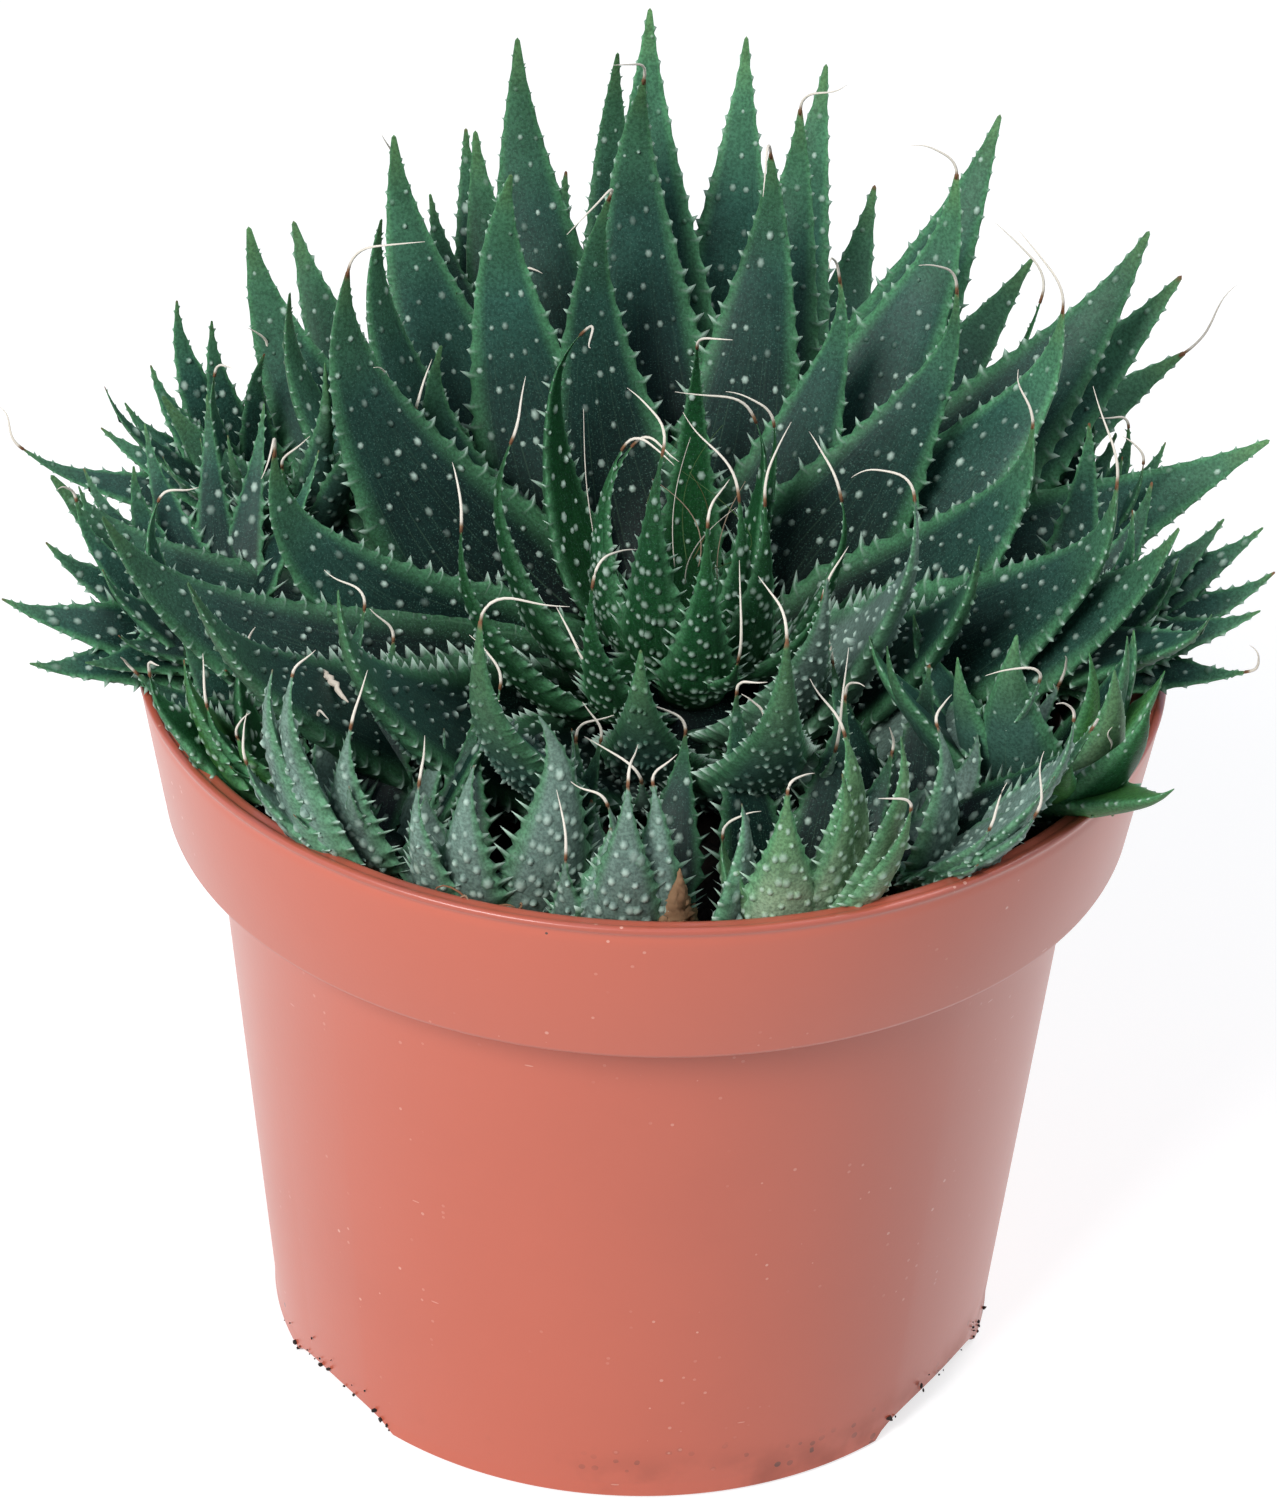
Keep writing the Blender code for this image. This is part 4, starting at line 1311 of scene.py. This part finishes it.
        # The dome takes a leaf base's near-black colour at tone 0: painted shade under the leaves.
        flesh.add_plain(points + HEART * (1, 1, 0), quads, 0.0, 0.3)
        for bearing, lean, reach in self.heart_leaves:
            curl = rng.uniform(10, 26)
            stem = self.reaching(bearing, lean, reach, curl, 0.6 * self.side_turn(bearing, rng))
            front, length = frontness(bearing), (stem.length - self.sunk) / MM
            under_gap = 2.6 - 0.4 * front
            if length >= self.grown:
                look = LeafLook(22.0, Habit.DEEP, 1.6, 2.6, 4.4, under_gap, wart=0.30,
                                tone=rng.uniform(0.1, 0.6))
            else:
                look = LeafLook(min(5.5 + (0.13 + 0.07 * front) * length, 15.0), Habit.YOUNG, 1.6, 2.6, 3.6,
                                under_gap, wart=0.30, awn=rng.uniform(9, 16), tone=rng.uniform(0.1, 0.6),
                                hold=0.22, **SLENDER)
            Leaf(stem, look, rng).add_to(flesh)
        self.add_threads(flesh, rng)
        crown = flesh.to_object("crown_young", material)
        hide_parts("crown")
        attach(crown, "root")
        return crown

    def add_threads(self, flesh: Flesh, rng: np.random.Generator) -> None:
        """Add thin dry grass-like threads that rise from the heart and fall apart."""
        s = np.linspace(0, 1, 14)[:, None]
        for _ in range(10):
            start = HEART + [rng.normal(0, 3) * MM, rng.normal(0, 3) * MM, 22 * MM]
            away = level(rng.uniform(0, 360)) * rng.uniform(3, 10) * MM
            sway = np.cross(UP, away) * rng.normal(0, 0.6)
            path = start + UP * (s * rng.uniform(10, 22) * MM) + away * s ** 2 + sway * np.sin(3 * s)
            radius = 0.06 * MM * (1 - s[:, 0] ** 3) + 0.03 * MM
            paint = np.tile([0, rng.choice([0.2, 0.28, 0.7, 0.95]), 0.2, 0.9], (14, 1))
            add_thread(flesh, path, radius, paint, 4)


@dataclass(frozen=True)
class Offset:
    """One small rosette in the soil round the main plant, set out as its CAD node is.

    Its leaves are given by bearing, lean and length, the oldest first, and some by their width as well,
    in degrees and millimetres; breadth gives the width of the others. Parting is how far the roots stand
    apart along the rim, as a share of how far the tips do. Withered is the number of a dead leaf, mixed
    gives the leaves of another habit than the rest, and plain leaves are broad and nearly smooth.
    """

    name: str
    bearing: float
    radius: float
    head: float
    breadth: float
    leaves: tuple[tuple[float, ...], ...]
    habit: Habit = Habit.GREY
    withered: int = -1
    parting: float = 0.0
    mixed: tuple[tuple[Habit, tuple[int, ...]], ...] = ()
    plain: bool = False

    def stem(self, index: int, soil_edge: float, rng: np.random.Generator) -> Stem:
        """Middle line of one leaf: its root lies beside the head, on the side to which its tip leans.

        Args:
            index: Which leaf.
            soil_edge: Height of the soil at the pot's wall.
            rng: Source of small unevenness.

        Returns:
            The middle line, which starts low in the offset's head.
        """
        bearing, lean, length = self.leaves[index][:3]
        young = index / (len(self.leaves) - 1)
        bend = math.radians(34 - 0.35 * lean)
        rim, outward = level(self.bearing), level(bearing)
        head = rim * self.radius * MM + UP * (soil_edge + self.head * MM)
        reach = (outward * sine(lean) + UP * cosine(lean)) * length * MM * math.sin(bend / 2) / (bend / 2)
        tip = head + outward * 1.2 * MM + UP * (young - 0.4) * 3 * MM + reach
        along_rim = np.cross(UP, rim)
        root = head + along_rim * (self.parting * float((tip - head) @ along_rim))
        sink = 0.55 - 0.55 * float(smooth(np.array((lean - 30) / 25)))
        root += rim * 2.4 * MM * sink + UP * ((1.5 * young - self.head * sink) * MM)
        curl, sway = math.radians(rng.uniform(8, 26)), math.radians(rng.normal(-5, 5))
        facing = 0.0 if self.plain else 34 * cosine(self.bearing)
        aside = (bearing - self.bearing + 180) % 360 - 180
        roll = math.radians(facing * abs(cosine(bearing)) - aside * max(1 - lean / 25, 0))
        return replace(Stem.between(root, tip, bend, curl, sway), roll=roll)

    def look(self, index: int, rng: np.random.Generator) -> LeafLook:
        """Sizes and colouring of one leaf."""
        length, *given = self.leaves[index][2:]
        wide = given[0] if given else 2.2 + 1.25 * self.breadth * length
        habit = next((kind for kind, which in self.mixed if index in which), self.habit)
        if self.plain:
            return LeafLook(1.5 * wide, habit, 0.6, 3.0, 7.0, 6.0, dot=0.42, wart=0.14, neck=0.7, belly=0.4,
                            hold=0.2, tone=rng.uniform(0.3, 0.8))
        dry, grey = index == self.withered, self.habit is not Habit.DEEP
        tooth = 0.5 if dry else rng.uniform(1.5, 2.2) if grey else 1.6
        burnt = rng.choice([0.0, 0.3, 0.45])
        awned = rng.random() < (0.55 if grey else 0.12) and not dry
        awn = rng.uniform(5, 10) if awned else 0.0
        # Dark filler leaves among other habits get a low tone: painted shade in the gaps between the leaves;
        # the others' tone is random.
        tone = rng.uniform(*(0.0, 0.2) if habit is Habit.DEEP and grey else (0.35, 0.75))
        tooth_gap, under_gap, neck, hold = (2.3, 2.3, 0.60, 0.30) if grey else (2.8, 2.7, 0.75, 0.1)
        return LeafLook(1.16 * wide, habit, tooth, tooth_gap, 3.4, under_gap, dot=0.84, wart=0.34, awn=awn,
                        neck=neck, belly=0.36, hold=hold, point=1.2, draw=1.32, dry=0.60 if dry else 0.0,
                        burnt=burnt, tone=tone, crinkle=0.45 if dry else 0.0)

    def build(self, soil_edge: float, material: bpy.types.Material) -> bpy.types.Object:
        """Make the offset's stem and leaves as one piece in place of its CAD node."""
        rng = np.random.default_rng(sum(map(ord, self.name)))
        flesh = Flesh()
        top = soil_edge + self.head * MM
        profile = rounded([(0, top + 2.4 * MM), (2.9 * MM, top + 1.6 * MM), (3.3 * MM, top - 1.5 * MM),
                           (2.8 * MM, soil_edge - 1.5 * MM), (0, soil_edge - 1.5 * MM)], 1.2 * MM)
        points, quads = turn_profile(profile, 20)
        # The stem takes a leaf base's near-black colour at tone 0: painted shade under the leaves.
        flesh.add_plain(points + level(self.bearing) * self.radius * MM, quads, 0.0, 0.3)
        for index in range(len(self.leaves)):
            stem = self.stem(index, soil_edge, rng)
            Leaf(stem, self.look(index, rng), rng).add_to(flesh)
        made = flesh.to_object("pup_" + self.name.removeprefix("offset_"), material)
        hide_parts(self.name)
        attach(made, "root")
        return made


OFFSETS = (
    Offset("offset_front", 267, 60, 5, 0.36, (
        (248, 10, 20, 12.5), (274, 10, 28, 10), (321, 8, 26, 9), (322, 33, 16, 7.0), (221, 32, 17, 6),
        (350, 35, 26, 11), (120, 30, 16), (60, 35, 26, 9), (115, 40, 24, 9)
    ), Habit.GREY, withered=3, parting=0.7, mixed=((Habit.DEEP, (7, 8)),)),
    Offset("offset_front_left", 249, 60, 5, 0.32, (
        (246, 8, 27, 9.5), (336, 10, 34, 11.5), (220, 24, 27, 7.5), (340, 38, 26, 10), (10, 20, 29, 7),
        (150, 35, 16), (30, 38, 26, 9), (100, 42, 24, 9)
    ), Habit.GREY, parting=0.7, mixed=((Habit.DEEP, (6, 7)),)),
    Offset("offset_left_front", 232, 59, 7, 0.26, (
        (207, 24, 38), (219, 22, 38), (207, 44, 28), (244, 18, 27), (150, 30, 20), (40, 30, 18),
        (226, 52, 20, 8), (250, 34, 20, 8), (90, 42, 28, 9), (30, 40, 26, 9)
    ), Habit.GREY, parting=0.2, mixed=((Habit.DEEP, (8, 9)),)),
    Offset("offset_left_low", 210, 58, 8, 0.25, (
        (205, 42, 30), (215, 33, 30), (227, 39, 24), (243, 44, 20), (150, 48, 24, 10), (200, 15, 22),
        (238, 60, 16, 6), (60, 45, 24, 8), (176, 58, 25, 10), (130, 60, 20, 9)
    ), Habit.YOUNG, mixed=((Habit.BRIGHT, (1, 3)), (Habit.DEEP, (4, 7, 8, 9)))),
    Offset("offset_left", 187, 62, 16, 0.27, (
        (198, 67, 34), (210, 79, 30, 13.5), (169, 62, 29), (150, 62, 26), (228, 62, 22), (275, 66, 24),
        (190, 18, 26), (140, 38, 28), (215, 46, 26), (178, 42, 30, 10), (166, 44, 30, 9), (120, 50, 34, 9),
        (100, 45, 36, 9), (80, 40, 34, 9), (60, 50, 30, 8), (140, 60, 32, 9), (222, 80, 24, 12)
    ), Habit.DEEP),
    Offset("offset_left_back", 150, 63, 14, 0.25, (
        (179, 60, 32), (174, 52, 31), (165, 42, 32), (151, 31, 38), (143, 27, 33), (100, 52, 26),
        (150, 8, 28), (110, 30, 26), (215, 38, 24), (190, 22, 28), (230, 50, 34, 9), (250, 40, 34, 9),
        (205, 45, 40, 9), (190, 70, 42, 11), (270, 45, 30, 9), (300, 35, 34, 10), (330, 40, 32, 9),
        (0, 42, 30, 9), (315, 15, 34, 10), (290, 25, 38, 10)
    ), Habit.DEEP),
    Offset("offset_back", 110, 54, 14, 0.26, (
        (111, 40, 55), (135, 39, 51), (85, 40, 47), (127, 40, 45), (105, 39, 42), (102, 40, 38),
        (110, 12, 30), (70, 30, 28), (150, 30, 28)
    ), Habit.DEEP),
    Offset("offset_right_back", 26, 65, 14, 0.26, (
        (30, 31, 24), (15, 42, 25), (9, 49, 23), (50, 46, 21), (5, 30, 19), (60, 25, 24), (340, 36, 22)
    ), Habit.DEEP),
    Offset("offset_right", 356, 57, 16, 0.27, (
        (338, 77, 30), (350, 66, 32), (359, 62, 35), (8, 55, 36), (12, 49, 32), (70, 23, 34),
        (313, 55, 36), (0, 22, 26), (40, 40, 28), (340, 42, 26)
    ), Habit.DEEP),
    Offset("offset_right_front", 332, 61, 10, 0.25, (
        (307, 41, 34, 12), (306, 28, 32, 12), (282, 49, 24), (0, 40, 26), (200, 25, 16), (306, 62, 33, 10),
        (322, 16, 26, 9), (150, 42, 28, 9), (200, 40, 34, 10), (180, 45, 32, 10), (222, 30, 30, 10),
        (250, 20, 32, 12), (350, 24, 27, 10), (20, 32, 25, 10)
    ), Habit.BRIGHT, plain=True,
       mixed=((Habit.YOUNG, (0,)), (Habit.LIGHT, (1,)), (Habit.DEEP, (4, 7, 8, 9, 10, 11, 12, 13)))),
    Offset("offset_front_right", 308, 58, 8, 0.27, (
        (305, 47, 24, 10), (321, 43, 34, 11), (332, 36, 39, 12), (318, 50, 28, 11), (30, 30, 20),
        (200, 30, 16), (318, 8, 24), (300, 62, 20, 8), (120, 45, 28, 9), (80, 40, 26, 9), (34, 52, 31, 12),
        (352, 46, 33, 11), (8, 62, 30, 11)
    ), Habit.GREY, mixed=((Habit.DEEP, (8, 9, 11)),)),
    Offset("offset_front_low", 288, 60, 5, 0.28, (
        (233, 30, 18, 8), (271, 15, 28, 11.5), (318, 17, 30, 8.5), (324, 36, 33, 9.5), (334, 24, 38, 10),
        (346, 12, 32), (180, 30, 14), (100, 35, 26, 9), (40, 45, 26, 8), (60, 30, 30, 10),
        (120, 25, 30, 10)
    ), Habit.LIGHT, parting=0.35, mixed=((Habit.DEEP, (7, 8, 9, 10)),)),
)


def stand(name: str, data: bpy.types.ID, place: Sequence[float],
          axes: Sequence[np.ndarray]) -> bpy.types.Object:
    """Put a camera or lamp at a place, with its right, up and back along three unit vectors."""
    made = bpy.data.objects.new(name, data)
    bpy.context.scene.collection.objects.link(made)
    made.matrix_world = Matrix.Translation(place) @ Matrix(np.stack(axes, axis=1).tolist()).to_4x4()
    return made


@dataclass(frozen=True)
class Studio:
    """Plain pale floor, soft lamps, and the camera.

    A lamp has a name, a place, a width in metres and a power in watts. Room is the light that the room
    gives, and mirrored the room as glossy surfaces show it.
    """

    eye: tuple = (-1.47 * MM, -668.5 * MM, 518.4 * MM)
    pitch: float = 0.5633
    roll: float = 0.0335
    lens: float = 128.47
    floor: float = 0.45
    glow: float = 0.70
    reach: float = 6.0
    room: Colour = (0.18, 0.202, 0.242)
    mirrored: Colour = (0.74, 0.90, 1.20)
    lamps: tuple = (("key", (-0.76, -1.02, 1.05), 0.65, 25.0), ("fill", (1.1, -0.5, 0.8), 1.1, 2.0),
                    ("top", (0.70, 0.45, 1.25), 0.9, 9.0), ("edge", (-1.3, 0.45, 0.35), 1.0, 1.5))

    def place_camera(self) -> None:
        """Look along +Y and down by the pitch, turned a little by the roll."""
        data = bpy.data.cameras.new("camera")
        data.lens, data.sensor_width = self.lens, 36.0
        data.clip_start, data.clip_end = 0.05, 50
        rise = np.array([0, math.sin(self.pitch), math.cos(self.pitch)])
        side = np.array([1.0, 0, 0])
        right = math.cos(self.roll) * side + math.sin(self.roll) * rise
        up = -math.sin(self.roll) * side + math.cos(self.roll) * rise
        back = -np.array([0, math.cos(self.pitch), -math.sin(self.pitch)])
        bpy.context.scene.camera = stand("camera", data, self.eye, (right, up, back))

    def lay_floor(self) -> None:
        """Lay a wide pale floor that shows near white and keeps the object's shadow."""
        made = bpy.data.materials.new("floor")
        made.use_nodes = True
        graph = Graph(made.node_tree)
        shader = made.node_tree.nodes["Principled BSDF"]
        for key, value in (("Base Color", (self.floor, self.floor, self.floor, 1)), ("Roughness", 1.0),
                           ("Specular IOR Level", 0.0)):
            shader.inputs[key].default_value = value
        path = graph.node("ShaderNodeLightPath").outputs
        seen = graph.math("MAXIMUM", path["Is Camera Ray"], path["Is Glossy Ray"])
        glow = graph.node("ShaderNodeEmission", {"Color": WHITE, "Strength": graph.times(seen, self.glow)})
        both = graph.node("ShaderNodeAddShader", {0: shader.outputs[0], 1: glow.outputs[0]})
        graph.feed(made.node_tree.nodes["Material Output"].inputs[0], both.outputs[0])
        flesh = Flesh()
        points = np.array([(-1, -1, 0), (1, -1, 0), (1, 1, 0), (-1, 1, 0)]) * self.reach
        flesh.add_plain(points, np.array([[0, 1, 2, 3]]))
        floor = flesh.to_object("floor", made)
        floor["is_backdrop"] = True

    def light(self) -> None:
        """Light the object from a pale room and four soft lamps; the camera sees the room white."""
        world = bpy.data.worlds.new("room")
        bpy.context.scene.world = world
        world.use_nodes = True
        graph = Graph(world.node_tree)
        path = graph.node("ShaderNodeLightPath").outputs
        seen = graph.math("MAXIMUM", path["Is Camera Ray"], path["Is Transmission Ray"])
        room = graph.blend(path["Is Glossy Ray"], self.room, self.mirrored)
        back = world.node_tree.nodes["Background"]
        graph.feed(back.inputs["Color"], graph.blend(seen, room, WHITE))
        back.inputs["Strength"].default_value = 1.0
        for name, place, size, power in self.lamps:
            data = bpy.data.lights.new(name, "AREA")
            data.size, data.energy = size, power
            away = np.array(place) - UP * 0.1
            away /= np.linalg.norm(away)
            side = np.cross(UP, away)
            side /= np.linalg.norm(side)
            stand(name, data, place, (side, np.cross(away, side), away))
        bpy.context.scene.view_settings.view_transform = "Standard"


def corners() -> list[list[float]]:
    """Lowest and highest corner of the shown object as plain lists."""
    return [[float(value) for value in corner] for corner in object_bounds()]


def main() -> None:
    """Build every piece in order and report it."""
    logging.basicConfig(level=logging.INFO, format="%(name)s: %(message)s")
    for made in list(bpy.data.objects):
        bpy.data.objects.remove(made, do_unlink=True)
    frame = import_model()
    _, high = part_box("pot")
    _, soil_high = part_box("soil")
    finishes = Finishes.make(high.z)
    pot = Pot(height=high.z, rim=high.x)
    soil = Soil(edge=soil_high.z, middle=soil_high.z - 2.5 * MM, radius=soil_high.x, pot=pot)
    rosette = Rosette()
    pieces = [pot.build(finishes.plastic), soil.build(finishes.earth), StraySoil(pot).build(finishes.earth),
              DryBits().build(finishes.leaf), rosette.build_crown(finishes.leaf)]
    rosette.build(frame["nodes"], finishes.leaf)
    pieces += [offset.build(soil_high.z, finishes.leaf) for offset in OFFSETS]
    for piece in pieces:
        LOG.info("%s: %d faces", piece.name, len(piece.data.polygons))
    studio = Studio()
    studio.place_camera()
    studio.lay_floor()
    studio.light()


if __name__ == "__main__":
    main()
